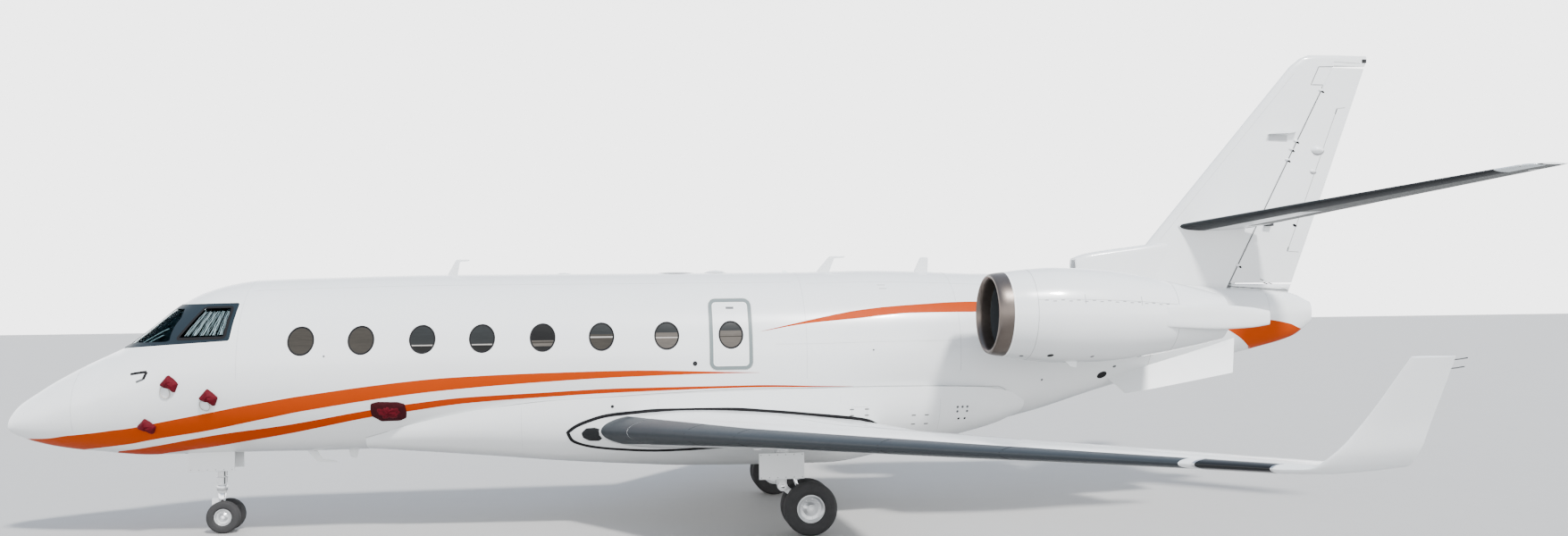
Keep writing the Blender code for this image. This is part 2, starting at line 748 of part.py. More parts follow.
def wing(name, side):
    whole = foil(name + "_wing", WING, side, WHITE_PAINT)
    band = []
    for out in (1.55, KINK, 5.79, 7.60):
        row = foil_at(WING, out)
        band.append((row[0] + SLAT_CHORD * row[3], side * out))
    front = [(s - 0.9, out) for s, out in reversed(band)]
    leading = foil(name + "_leading_edge", WING, side, GREY_METAL)
    keep(leading, plan_prism("slat", band + front, 0.5, 2.5))
    wider = [(s + 0.0006, out) for s, out in band] + front
    wider[3] = (wider[3][0], side * 7.6006)
    wider[4] = (wider[4][0], side * 7.6006)
    wider[0] = (wider[0][0], side * 1.5494)
    wider[7] = (wider[7][0], side * 1.5494)
    cut(whole, plan_prism("slat_cut", wider, 0.5, 2.5))

    flap = foil(name + "_flap", WING, side, WHITE_PAINT)
    keep(flap, trailing_prism("flap_shape", WING, FLAP_AT, FLAP_HINGE, side, 0.0))
    cove = trailing_prism("flap_cove", WING, FLAP_AT, FLAP_HINGE, side, 0.0006)
    for corner in cove.data.vertices:
        corner.co.x -= 0.0006
    cut(whole, cove)

    spare = foil(name + "_aileron", WING, side, WHITE_PAINT)
    hinged_surface(name + "_aileron", whole, spare, WING, AILERON_AT, AILERON_HINGE, side)

    cut(whole, fairing_solid("fairing", GAP), body_solid("body", 5.50, 15.0, -GAP))
    cut(flap, fairing_solid("fairing", GAP))
    centre = side * MAIN_OUT
    cut(whole, block("leg_socket", (MAIN_STRUT - 0.11, centre - 0.11, 0.5),
                     (MAIN_STRUT + 0.11, centre + 0.11, LEG_SOCKET)))
    station, out, bottom, top = WING_JACK
    join(whole, jack_pad(station, side * out, bottom, top))
    foil(name + "_winglet", WINGLET, side, WHITE_PAINT)


def fin_solid(name, finish=None):
    rings = []
    for s, z, chord, thick in FIN:
        rings.append(foil_ring((s, 0.0, z, chord, thick, 90), 1))
    return loft(name, rings, finish)


def fin_half_thickness(station, height):
    for one, two in zip(FIN, FIN[1:]):
        if one[1] <= height <= two[1]:
            share = (height - one[1]) / (two[1] - one[1])
            row = [a + (b - a) * share for a, b in zip(one, two)]
            return half_thickness((0, 0, 0, row[2], row[3]), (station - row[0]) / row[2])
    return 0.02


def aft_of_rudder_hinge(low, high):
    (low_s, low_z), (high_s, high_z) = RUDDER_HINGE
    slope = (high_s - low_s) / (high_z - low_z)
    front = [(low_s + slope * (z - low_z), z) for z in (low, high)]
    return prism("rudder_shape", (*front, (high_s + 1.2, high), (low_s + 1.6, low)), -0.6, 0.6)


def fin_and_rudder():
    fin = fin_solid("fin", WHITE_PAINT)
    rudder = fin_solid("rudder", WHITE_PAINT)
    (low_s, low_z), (high_s, high_z) = RUDDER_HINGE
    inner = at(low_s, 0, low_z)
    outer = at(high_s, 0, high_z)
    first = fin_half_thickness(low_s, low_z)
    second = fin_half_thickness(high_s, high_z)
    keep(rudder, aft_of_rudder_hinge(low_z, high_z))
    join(rudder, hinge_nose(inner, outer, first, second, pin_start=False))
    cut(fin, aft_of_rudder_hinge(2.0, high_z + RUDDER_HEADROOM))
    cut(fin, cove(inner, outer, first, second, RUDDER_FOOTROOM))
    rings = []
    for s, w, low, high in SCOOP:
        side = ((w, low), (w, high - 0.06), (w - 0.06, high))
        corners = (*side, *[(-out, height) for out, height in reversed(side)])
        rings.append([at(s, out, height) for out, height in corners])
    scoop = loft("scoop", rings)
    cut(scoop, block("scoop_mouth", (14.0, -0.09, 3.29), (14.45, 0.09, 3.43)))
    join(fin, scoop)
    cut(fin, body_solid("body", 13.3, TAIL_END, -GAP))
    for side in (-1, 1):
        cut(fin, foil("stabilizer_slot", STABILIZER, side, grow=0.002))


def stabilizer():
    port = foil("stabilizer", STABILIZER, -1, WHITE_PAINT)
    shell = join(port, foil("half", [(row[0], row[1] - 0.001, *row[2:]) for row in STABILIZER], 1))
    for name, side in SIDES:
        spare = foil("elevator", STABILIZER, side, WHITE_PAINT)
        hinged_surface(name + "_elevator", shell, spare, STABILIZER, ELEVATOR_AT, ELEVATOR_HINGE, side)
    cut(shell, block("rudder_notch", (16.68, -0.20, 3.6), (17.40, 0.20, 4.3)))


def ventral_fins():
    tilt = Matrix.Identity(4)
    tilt[2][0] = VENTRAL_RISE
    tilt[2][3] = -VENTRAL_RISE * at(VENTRAL_FOOT, 0, 0).x
    for name, side in SIDES:
        made = foil(name + "_ventral_fin", VENTRAL_FIN, side, WHITE_PAINT)
        made.data.transform(tilt)
        cut(made, body_solid("body", 13.3, TAIL_END, -GAP))


# Engines

def engine_frame(side):
    """Places a shape made with its axis on X, station zero at the nose tip, onto the engine."""
    pivot = at(ENGINE_PIVOT, side * ENGINE_OUT, ENGINE_HEIGHT)
    tilt = Matrix.Rotation(math.radians(ENGINE_NOSE_UP), 4, "Y")
    return Matrix.Translation(pivot) @ tilt @ Matrix.Translation((-ENGINE_PIVOT, 0, 0))


def engine_lathe(name, profile, side, finish=None, closed=False, segments=24):
    """Turned shape from (station, radius) points, about the engine's axis."""
    rings = []
    for station, radius in profile:
        ring = []
        for i in range(segments):
            turn = 2 * math.pi * i / segments
            place = Vector((station, radius * math.cos(turn), radius * math.sin(turn)))
            ring.append(engine_frame(side) @ place)
        rings.append(ring)
    return loft(name, rings, finish, closed)


def vaned(name, rows, count, side, finish):
    rings = []
    for station, hub, tip, twist, share in rows:
        ring = []
        for i in range(count):
            start = 2 * math.pi * i / count + math.radians(twist)
            width = 2 * math.pi / count
            for radius, offset in ((hub, 0.0), (tip, 0.0), (tip, share), (hub, share)):
                turn = start + width * offset
                place = Vector((station, radius * math.cos(turn), radius * math.sin(turn)))
                ring.append(engine_frame(side) @ place)
        rings.append(ring)
    return loft(name, rings, finish)


def engine(name, side):
    engine_lathe(name + "_inlet_lip", LIP_SHAPE, side, LIP_METAL, closed=True)
    cowl = engine_lathe(name + "_cowl", COWL_OUTSIDE + COWL_INSIDE, side, WHITE_PAINT, closed=True)
    rings = []
    for station, inner, outer, half in STANG:
        corners = ((inner, -half), (outer - 0.03, -half), (outer, -half * 0.6), (outer, half * 0.6),
                   (outer - 0.03, half), (inner, half))
        rings.append([engine_frame(side) @ Vector((station, side * out, z)) for out, z in corners])
    join(cowl, loft("stang", rings))

    vaned(name + "_fan", FAN_ROWS, FAN_BLADES, side, BARE_METAL)
    vaned(name + "_engine_core", CORE_ROWS, CORE_VANES, side, BARE_METAL)

    pylon = foil(name + "_pylon", PYLON, side, WHITE_PAINT)
    grown = [(s, r + GAP) for s, r in COWL_OUTSIDE]
    cut(pylon, body_solid("body", 11.0, TAIL_END, -GAP), engine_lathe("cowl_cut", grown, side))


# Landing gear

def wheel_lathe(name, profile, centre, finish, closed=True, segments=32):
    """Turned shape about an axle along Y: (distance along the axle, radius)."""
    rings = []
    for along, radius in profile:
        ring = []
        for i in range(segments):
            turn = 2 * math.pi * i / segments
            ring.append(centre + Vector((radius * math.cos(turn), along, radius * math.sin(turn))))
        rings.append(ring)
    return loft(name, rings, finish, closed)


def tyre(name, centre, radius, half, rim):
    """Tyre with round shoulders on a rim."""
    side = radius - rim
    profile = ((-half * 0.62, rim), (-half, rim + side * 0.35), (-half * 0.92, radius - side * 0.25),
               (-half * 0.45, radius), (half * 0.45, radius), (half * 0.92, radius - side * 0.25),
               (half, rim + side * 0.35), (half * 0.62, rim))
    return wheel_lathe(name, profile, centre, RUBBER, segments=24)


def hubs(name, centre, out, half, rim, axle):
    """Two rims on one live axle that turns in the leg's bearing."""
    r = rim - GAP
    flange = half * 0.62
    profile = [
        (-out - flange, rim * 0.40),
        (-out - flange * 0.35, rim * 0.55),
        (-out - flange, r - 0.012),
        (-out - flange, r),
        (-out + flange, r),
        (-out + flange * 0.4, rim * 0.55),
        (-out + flange * 0.4, axle),
    ]
    mirrored = [(-along, radius) for along, radius in reversed(profile)]
    return wheel_lathe(name, profile + mirrored, centre, BARE_METAL, closed=False, segments=24)


def nose_gear():
    radius, half, out = NOSE_TYRE
    rim = radius * 0.52
    axle = at(NOSE_GEAR + NOSE_TRAIL, 0, radius)
    steer = at(NOSE_GEAR, 0, 0)
    top = FLOOR_TOP - FLOOR_THICK - GAP
    leg = rod("nose_leg", steer + Vector((0, 0, 0.50)), steer + Vector((0, 0, top)), 0.055, finish=BARE_METAL)
    join(leg, rod("trunnion", steer + Vector((0, -0.185, 1.20)), steer + Vector((0, 0.185, 1.20)), 0.03))
    join(leg, rod("drag_brace", steer + Vector((0, 0, 0.74)), at(NOSE_GEAR - 0.33, 0, 1.30), 0.022))
    join(leg, rod("lamp", at(NOSE_GEAR - 0.09, 0, 0.86), at(NOSE_GEAR - 0.02, 0, 0.86), 0.055))

    fork = rod("nose_fork", steer + Vector((0, 0, 0.33)), steer + Vector((0, 0, 0.50 - GAP)), 0.045,
               finish=BARE_METAL)
    join(fork, rod("piston", steer + Vector((0.006, 0, 0.40)), axle + Vector((0.002, 0, -0.010)), 0.034))
    join(fork, rod("bearing", axle + Vector((0, -0.045, 0)), axle + Vector((0, 0.045, 0)), 0.042))
    join(fork, block("link", (NOSE_GEAR - 0.12, -0.025, 0.34), (NOSE_GEAR - 0.02, 0.025, 0.44)))
    cut(fork, rod("bore", axle + Vector((0, -0.1, 0)), axle + Vector((0, 0.1, 0)), 0.0206, segments=24))
    hubs("nose_hubs", axle, out, half, rim, 0.020)
    for name, side in SIDES:
        tyre("nose_tyre_" + name, axle + Vector((0, side * out, 0)), radius, half, rim)
    for name, side in SIDES:
        corner = side * 0.197
        door = block("nose_door_" + name, (2.20, min(corner, corner + side * 0.012), 0.80),
                     (2.76, max(corner, corner + side * 0.012), 1.085), WHITE_PAINT)
        cut(door, body_solid("body", 1.42, COCKPIT_END, -GAP))


def main_gear(name, side):
    radius, half, out = MAIN_TYRE
    rim = radius * 0.52
    axle = at(MAIN_GEAR, side * MAIN_OUT, radius)
    top = at(MAIN_STRUT, side * MAIN_OUT, LEG_SOCKET - GAP)
    pivot = at(MAIN_STRUT, side * MAIN_OUT, MAIN_PIVOT_HEIGHT)
    leg = rod(name + "_main_leg", top, pivot, 0.075, 0.058, finish=BARE_METAL)
    join(leg, rod("pivot", pivot + Vector((0, -0.07, 0)), pivot + Vector((0, 0.07, 0)), 0.06))
    join(leg, rod("link", pivot + Vector((0, 0.002, 0)), axle + Vector((0.02, 0.002, -0.016)), 0.040, 0.034))
    join(leg, rod("bearing", axle + Vector((0, -0.042, 0)), axle + Vector((0, 0.042, 0)), 0.055))
    join(leg, rod("shock", at(MAIN_GEAR - 0.10, side * MAIN_OUT, 0.46),
                  at(MAIN_STRUT + 0.03, side * MAIN_OUT, 1.08), 0.034))
    plate = side * (MAIN_OUT + 0.13)
    join(leg, block("bracket", (MAIN_STRUT - 0.02, min(side * MAIN_OUT, plate), 0.84),
                    (MAIN_STRUT + 0.02, max(side * MAIN_OUT, plate), 0.88)))
    join(leg, block("door", (MAIN_STRUT - 0.30, min(plate, plate + side * 0.014), 0.70),
                    (MAIN_STRUT + 0.26, max(plate, plate + side * 0.014), 1.02)))
    cut(leg, rod("bore", axle + Vector((0, -0.1, 0)), axle + Vector((0, 0.1, 0)), 0.0308, segments=24))
    hubs(name + "_main_hubs", axle, out, half, rim, 0.030)
    for place, turn in (("inner", -1), ("outer", 1)):
        tyre(name + "_main_tyre_" + place, axle + Vector((0, side * turn * out, 0)), radius, half, rim)


clear_scene()
parts = collection("business_jet")
cutters = collection("cutters")
cabin_section = fuselage()
glazing()
window_rows()
entry_door(cabin_section)
overwing_exit()
cabin_inside()
belly_fairing()
for side_name, side_sign in SIDES:
    wing(side_name, side_sign)
fin_and_rudder()
stabilizer()
ventral_fins()
for side_name, side_sign in SIDES:
    engine(side_name, side_sign)
nose_gear()
for side_name, side_sign in SIDES:
    main_gear(side_name, side_sign)
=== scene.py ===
# Looks of the parked business jet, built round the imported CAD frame.
# Metres, nose towards -X, port towards -Y. A station is a distance aft of the nose tip.
# An angle on the body runs from 0 below to 180 on top.
import math
from bisect import bisect_right

import bmesh
import bpy
from mathutils import Matrix, Vector
from mathutils.bvhtree import BVHTree


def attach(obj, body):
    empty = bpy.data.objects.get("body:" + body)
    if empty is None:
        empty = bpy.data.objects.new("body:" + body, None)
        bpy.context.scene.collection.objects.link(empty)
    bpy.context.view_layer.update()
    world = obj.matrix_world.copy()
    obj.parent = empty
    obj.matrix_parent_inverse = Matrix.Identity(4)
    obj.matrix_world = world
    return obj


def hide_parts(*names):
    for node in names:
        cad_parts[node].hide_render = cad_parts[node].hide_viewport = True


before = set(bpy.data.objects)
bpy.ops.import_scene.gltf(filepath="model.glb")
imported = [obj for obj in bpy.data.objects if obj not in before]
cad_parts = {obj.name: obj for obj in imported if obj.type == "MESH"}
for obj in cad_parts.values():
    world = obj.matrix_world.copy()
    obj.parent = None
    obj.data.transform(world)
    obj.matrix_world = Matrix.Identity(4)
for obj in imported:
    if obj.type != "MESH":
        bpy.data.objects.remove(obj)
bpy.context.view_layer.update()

LENGTH = 19.03
PLAY = 0.0003  # between solids that meet
SIDES = (("port", -1), ("starboard", 1))

# Body: station, half width, height of greatest width, top, bottom
BODY = (
    (0.00, 0.004, 1.410, 1.414, 1.406), (0.05, 0.12, 1.41, 1.560, 1.345),
    (0.15, 0.21, 1.44, 1.680, 1.294), (0.35, 0.33, 1.49, 1.824, 1.219), (0.62, 0.45, 1.56, 1.997, 1.151),
    (0.95, 0.57, 1.65, 2.175, 1.098), (1.30, 0.68, 1.75, 2.342, 1.055), (1.42, 0.72, 1.79, 2.400, 1.042),
    (1.70, 0.80, 1.86, 2.615, 1.020), (2.09, 0.90, 1.96, 2.929, 1.018), (2.40, 0.97, 2.03, 3.096, 1.020),
    (2.75, 1.04, 2.09, 3.194, 1.022), (3.02, 1.08, 2.12, 3.233, 1.022), (3.80, 1.12, 2.15, 3.257, 1.015),
    (5.50, 1.13, 2.18, 3.284, 1.030), (9.95, 1.13, 2.18, 3.284, 1.030), (11.00, 1.11, 2.20, 3.300, 1.060),
    (11.80, 1.06, 2.21, 3.282, 1.080), (12.50, 0.99, 2.23, 3.250, 1.120), (13.30, 0.89, 2.28, 3.240, 1.280),
    (14.40, 0.72, 2.38, 3.170, 1.590), (15.00, 0.61, 2.45, 3.140, 1.730), (16.00, 0.43, 2.54, 3.060, 1.950),
    (16.80, 0.28, 2.60, 2.990, 2.130), (17.40, 0.17, 2.64, 2.930, 2.290), (17.70, 0.09, 2.66, 2.800, 2.480),
)
AROUND = 112
SKIN = 0.07
FLOOR_TOP = 1.40
RADOME_END, NOSE_END, COCKPIT_END, CABIN_END, AFT_END, TAIL_END = 0.95, 1.30, 3.02, 9.95, 15.00, 17.70
WINDOW_STATIONS = (3.77, 4.48, 5.21, 5.93, 6.67, 7.40, 8.22, 9.04)
WINDOW_HEIGHT = 2.46
WINDOW_WIDE = 0.32
WINDOW_TALL = 0.36
PANE_CLEAR = 0.895  # of the pane's size inside its seal
EXIT_AT = (8.76, 9.32, 2.01, 2.93)
DOOR_AT = (3.08, 3.92, 1.38, 2.97)
DOOR_GAP = 0.006
DEGREE = 0.019  # of turn round the body, in metres
GLAZING = ((1.10, 2.345), (1.40, 2.375), (2.93, 2.470), (2.98, 2.945), (2.12, 2.930), (1.10, 2.930))
SIDE_PANE = ((2.26, 2.500), (2.86, 2.515), (2.90, 2.890), (2.54, 2.885))
FRONT_PANE = ((0.04, 2.44), (0.80, 2.47), (0.56, 2.87), (0.04, 2.88))
SEAT_PLACES = ((4.9, 1), (6.3, -1), (7.1, 1), (8.5, -1))
# Wing to body fairing: station, half width at its top edge, top edge, bottom
FAIRING = (
    (4.45, 0.62, 1.22, 1.040), (5.15, 0.88, 1.42, 0.980), (6.00, 1.01, 1.58, 0.900), (6.90, 1.08, 1.67, 0.810),
    (7.70, 1.12, 1.70, 0.750), (8.60, 1.15, 1.73, 0.700), (10.40, 1.14, 1.75, 0.680), (11.16, 1.11, 1.75, 0.800),
    (11.80, 1.06, 1.74, 0.930), (12.30, 0.98, 1.72, 1.035), (12.75, 0.84, 1.66, 1.150),
    (13.10, 0.62, 1.56, 1.290),
)
# Sections: leading edge station, distance out, height, chord, thickness over chord, tilt in degrees
WING = (
    (7.33, 1.02, 1.270, 3.62, 0.135, 0), (7.77, 1.65, 1.302, 3.20, 0.128, 0), (8.83, 3.20, 1.371, 2.22, 0.120, 0),
    (10.60, 5.79, 1.487, 1.50, 0.112, 0), (11.87, 7.60, 1.570, 0.98, 0.105, 0), (12.34, 8.30, 1.600, 0.82, 0.100, 0),
)
WINGLET = (
    (12.34, 8.3003, 1.600, 0.82, 0.100, 0), (12.45, 8.45, 1.620, 0.76, 0.095, 20),
    (12.58, 8.56, 1.740, 0.66, 0.090, 55), (12.76, 8.65, 1.980, 0.52, 0.085, 70),
    (13.00, 8.83, 2.430, 0.34, 0.080, 70),
)
SLAT_CHORD = 0.09
FLAP_AT = (1.45, 5.70)
AILERON_AT = (5.75, 7.95)
WING_HINGE = 0.74
# Fin: leading edge station, height, chord, thickness over chord
FIN = (
    (14.55, 2.93, 2.83, 0.115), (15.21, 3.68, 2.47, 0.110), (17.49, 6.27, 1.20, 0.100),
    (17.66, 6.40, 1.08, 0.095), (17.80, 6.45, 0.93, 0.060),
)
RUDDER_HINGE = ((16.42, 3.08), (18.159, 6.26))
SCOOP = ((14.08, 0.13, 3.00, 3.46), (14.25, 0.15, 3.00, 3.52), (15.05, 0.15, 3.00, 3.63), (15.70, 0.10, 3.00, 3.72))
STABILIZER = (
    (15.55, 0.00, 3.880, 1.24, 0.100, 0), (15.65, 0.12, 3.900, 1.20, 0.100, 0),
    (18.47, 3.30, 4.430, 0.52, 0.090, 0), (18.68, 3.43, 4.445, 0.35, 0.060, 0),
)
ELEVATOR_AT = (0.32, 3.15)
TAIL_HINGE = 0.68
VENTRAL_FIN = ((14.20, 0.30, 1.98, 2.16, 0.020, 60), (14.55, 0.62, 1.52, 1.60, 0.022, 60))
VENTRAL_RISE = 0.16  # per metre aft of VENTRAL_FOOT
VENTRAL_FOOT = 14.30
# Engine: distance out, height, pivot station, nose up angle, then (station, radius) profiles
ENGINE = (1.89, 2.66, 13.50, 1.4)
COWL_OUTSIDE = (
    (12.37, 0.528), (12.60, 0.562), (13.07, 0.598), (13.65, 0.582), (14.15, 0.525), (14.60, 0.445),
    (15.00, 0.360), (15.28, 0.290),
)
COWL_INSIDE = ((12.37, 0.430), (12.75, 0.470), (13.60, 0.470), (14.20, 0.420), (14.80, 0.330), (15.28, 0.275))
LIP_SHAPE = (
    (12.3697, 0.430), (12.25, 0.435), (12.20, 0.455), (12.19, 0.478), (12.21, 0.500), (12.27, 0.516),
    (12.3697, 0.5275),
)
STANG = ((14.35, 0.40, 0.49, 0.14), (15.00, 0.335, 0.47, 0.155), (15.50, 0.310, 0.41, 0.13), (15.80, 0.300, 0.34, 0.09))
PYLON = ((12.75, 0.50, 2.60, 2.45, 0.085, 0), (13.05, 1.60, 2.62, 2.15, 0.085, 0))
FAN_DISC = ((12.70, 0.004), (12.73, 0.035), (12.78, 0.070), (12.87, 0.128), (12.95, 0.134), (13.05, 0.128))
BLADE_SECTION = ((-0.5, 0), (-0.25, 0.035), (0.1, 0.045), (0.5, 0), (0.1, -0.012), (-0.25, -0.012))
CORE_SHAPE = ((13.0503, 0.04), (13.08, 0.228), (13.41, 0.250), (14.20, 0.240), (14.80, 0.130), (15.22, 0.010))
NOSE_GEAR = 2.55
NOSE_TYRE = (0.205, 0.055, 0.118)
MAIN_GEAR = 9.93
MAIN_OUT = 1.65
MAIN_TYRE = (0.330, 0.085, 0.132)
RIM_SHARE = 0.52
MAIN_STRUT = 9.60


def at(station, out, height):
    """Point of the scene at a station, a distance to starboard and a height."""
    return Vector((station - LENGTH / 2, out, height))


# Materials

def fill(node, **values):
    """Set a node's inputs. An underscore stands for the space in an input's name."""
    for name, value in values.items():
        node.inputs[name.replace("_", " ")].default_value = value
    return node


def wire(tree, *links):
    """Link nodes, each link as from node, output, to node, input."""
    for source, output, target, into in links:
        tree.links.new(source.outputs[output], target.inputs[into])


def material(name, colour, rough, metal=0.0, vary=0.04, scale=3.0, rough_vary=0.06, grain=0.0,
             grain_scale=400.0, stretch=(1, 1, 1), coat=0.0, transmission=0.0, ior=1.45, sheen=0.0):
    """Principled material with a soft colour and gloss variation and a fine surface grain."""
    made = bpy.data.materials.new(name)
    made.use_nodes = True
    tree = made.node_tree

    def node(kind, **values):
        return fill(tree.nodes.new("ShaderNode" + kind), **values)
    shader = fill(tree.nodes["Principled BSDF"], Metallic=metal, Coat_Weight=coat, Coat_Roughness=0.06,
                  Transmission_Weight=transmission, IOR=ior, Sheen_Weight=sheen)
    spread = node("Mapping", Scale=stretch)
    cloud = node("TexNoise", Scale=scale, Detail=5.0)
    fine = node("TexNoise", Scale=scale * 6, Detail=4.0)
    gloss = node("MapRange", To_Min=max(0.0, rough - rough_vary), To_Max=min(1.0, rough + rough_vary))
    blend = node("Mix")
    blend.data_type = "RGBA"
    fill(blend, A=(*[c * (1 - vary) for c in colour], 1), B=(*[min(1.0, c * (1 + vary)) for c in colour], 1))
    wire(tree, (node("TexCoord"), "Object", spread, "Vector"), (spread, "Vector", cloud, "Vector"),
         (cloud, "Fac", blend, "Factor"), (blend, "Result", shader, "Base Color"),
         (spread, "Vector", fine, "Vector"), (fine, "Fac", gloss, "Value"), (gloss, "Result", shader, "Roughness"))
    if grain:
        speck = node("TexNoise", Scale=grain_scale)
        bump = node("Bump", Strength=grain, Distance=0.002)
        wire(tree, (spread, "Vector", speck, "Vector"), (speck, "Fac", bump, "Height"),
             (bump, "Normal", shader, "Normal"))
    made.diffuse_color = (*colour, 1)
    return made


WHITE = material("white_gloss_paint", (0.66, 0.675, 0.68), 0.24, vary=0.02, scale=1.4, coat=0.3, grain=0.02,
                 grain_scale=25)
COMPOSITE = material("composite_white_paint", (0.65, 0.665, 0.67), 0.30, vary=0.03, scale=2.2, coat=0.2, grain=0.03)
ORANGE = material("orange_paint", (0.34, 0.037, 0.0004), 0.42, vary=0.05, scale=2.0, ior=1.12)
RED_ORANGE = material("deep_orange_paint", (0.33, 0.032, 0.0005), 0.42, vary=0.05, scale=2.0, ior=1.12)
# Grey for fine lines, and painted shadow beside the bulge and the stud on the rudder.
GREY_LINE_AND_SHADOW = material("fine_grey_line_and_painted_shadow", (0.22, 0.225, 0.23), 0.4)
SEAM = material("panel_seam", (0.08, 0.085, 0.09), 0.6)
# Black rubber for seals, and painted shadow under the hinge knobs on the fin.
BLACK_SEAL_AND_SHADOW = material("black_rubber_seal_and_painted_shadow", (0.008, 0.008, 0.009), 0.6, vary=0.3, scale=30, grain=0.2, ior=1.2)
BAND_GREY = material("exit_band_grey", (0.135, 0.160, 0.162), 0.38, vary=0.03, ior=1.25)
SLATE = material("slate_frame_paint", (0.012, 0.019, 0.025), 0.42, vary=0.10, ior=1.15)
BOOT = material("dark_deicing_boot", (0.014, 0.016, 0.018), 0.5, vary=0.15, scale=8, grain=0.06, ior=1.25)
EDGE_METAL = material("slate_leading_edge", (0.024, 0.029, 0.034), 0.40, vary=0.08, scale=6, ior=1.30)
LIP = material("heat_tinted_lip", (0.12, 0.10, 0.088), 0.34, metal=0.85, vary=0.18, scale=5, grain=0.05)
TINTED = material("smoked_pane", (0.12, 0.105, 0.09), 0.10, vary=0.05, transmission=0.5, ior=1.35)
# Bands laid on the cabin panes: painted reflections in the glass, and a pale line that is partly the hem of a drawn
# shade and partly painted reflection.
REFLECTION_LOOK = {"vary": 0.3, "scale": 6, "stretch": (1, 1, 9), "ior": 1.2}
PANE_WARM_REFLECTION = material("pane_warm_painted_reflection", (0.030, 0.027, 0.023), 0.3, **REFLECTION_LOOK)
PANE_COOL_REFLECTION = material("pane_cool_painted_reflection", (0.016, 0.0175, 0.018), 0.3, **REFLECTION_LOOK)
PANE_DARK_REFLECTION = material("pane_dark_painted_reflection", (0.008, 0.008, 0.008), 0.3, **REFLECTION_LOOK)
PANE_PALE_REFLECTION = material("pane_pale_painted_reflection", (0.075, 0.067, 0.059), 0.3, **REFLECTION_LOOK)
PANE_HEM_AND_REFLECTION = material("pane_shade_hem_and_painted_reflection", (0.30, 0.28, 0.26), 0.3, vary=0.1, scale=20)
SHIELD = material("green_windshield", (0.76, 0.86, 0.87), 0.02, vary=0.02, rough_vary=0.02, transmission=1.0, ior=1.01)
SILVER = material("silver_sunshade", (0.74, 0.76, 0.77), 0.40, metal=0.3, vary=0.1, scale=12, grain=0.2)
ALLOY = material("brushed_alloy", (0.58, 0.59, 0.60), 0.32, metal=0.95, vary=0.06, scale=10, grain=0.08,
                 stretch=(1, 9, 9))
FAN_METAL = material("fan_titanium", (0.12, 0.13, 0.145), 0.34, metal=0.9, vary=0.08, scale=14, grain=0.05)
HOT_METAL = material("burnt_exhaust_metal", (0.24, 0.19, 0.16), 0.42, metal=0.85, vary=0.25, scale=7, grain=0.1)
LINER = material("intake_liner", (0.06, 0.066, 0.072), 0.5, metal=0.2, vary=0.06, scale=9, grain=0.2, grain_scale=900)
GEAR = material("gear_white_enamel", (0.72, 0.73, 0.74), 0.35, vary=0.05, scale=9, grain=0.05)
CHROME = material("polished_oleo", (0.75, 0.76, 0.77), 0.12, metal=1.0, vary=0.02, rough_vary=0.03)
RUBBER = material("tyre_rubber", (0.020, 0.020, 0.021), 0.82, vary=0.25, scale=14, grain=0.35, grain_scale=600)
DARK = material("soft_black_trim", (0.022, 0.023, 0.025), 0.62, vary=0.15, scale=18, grain=0.25, grain_scale=700)
# Painted shade: near-black for the inside of vents, ports and the fin scoop's duct.
OPENING_SHADE = material("painted_shade_in_opening", (0.006, 0.006, 0.007), 0.8, vary=0.1, scale=20)
LEATHER = material("cream_leather", (0.52, 0.44, 0.34), 0.52, vary=0.08, scale=11, grain=0.35, grain_scale=420,
                   sheen=0.1)
SEAM_THREAD = material("seat_piping", (0.30, 0.24, 0.18), 0.6, vary=0.1, scale=40)
CARPET = material("wool_carpet", (0.20, 0.17, 0.14), 0.95, vary=0.2, scale=60, grain=0.9, grain_scale=900, sheen=0.3)
LINING = material("cabin_lining", (0.55, 0.52, 0.47), 0.7, vary=0.04, scale=6, grain=0.2, grain_scale=500)
CRIMSON = material("crimson_cover_cloth", (0.075, 0.002, 0.007), 0.6, vary=0.45, scale=40, grain=0.8, grain_scale=800,
                   ior=1.2)
# Darker red: painted shade along the right edge of the probe covers, and the outer part of the static port cover.
DARK_RED_AND_SHADE = material("dark_red_cloth_and_painted_shade", (0.028, 0.002, 0.004), 0.7, vary=0.3, scale=40, grain=0.8,
                    grain_scale=800, ior=1.2)
WEBBING = material("pale_webbing", (0.40, 0.38, 0.35), 0.8, vary=0.12, scale=60, grain=0.7, grain_scale=900)
LAMP = material("clear_lamp_lens", (0.72, 0.75, 0.78), 0.07, vary=0.03, coat=0.6)
LENS = material("smoked_lamp_lens", (0.009, 0.010, 0.011), 0.12, vary=0.1, ior=1.3)
SCREEN = material("blank_screen", (0.010, 0.012, 0.015), 0.12, vary=0.1, coat=0.6)

EDGE_LIGHT = material("pale_pinstripe", (0.78, 0.78, 0.76), 0.35)
# Faint grey for seams, and painted shadow under the plate on the fin.
FAINT_SEAM_AND_SHADOW = material("faint_seam_and_painted_shadow", (0.40, 0.41, 0.42), 0.45)
EDGE_DARK = material("shaded_grey", (0.08, 0.08, 0.08), 0.5)
SHADE = material("ivory_window_shade", (0.46, 0.43, 0.38), 0.75, vary=0.06, scale=20, grain=0.3, grain_scale=700)
# Painted shade: near-black sheets behind the cockpit panes, for the dim flight deck.
PAINTED_SHADE_BACKING = material("painted_shade_backing", (0.005, 0.009, 0.011), 0.95, vary=0.3, scale=12, ior=1.02)
SHADE_GREEN = material("sunshade_edge", (0.16, 0.22, 0.23), 0.5, metal=0.3, vary=0.1, scale=15)
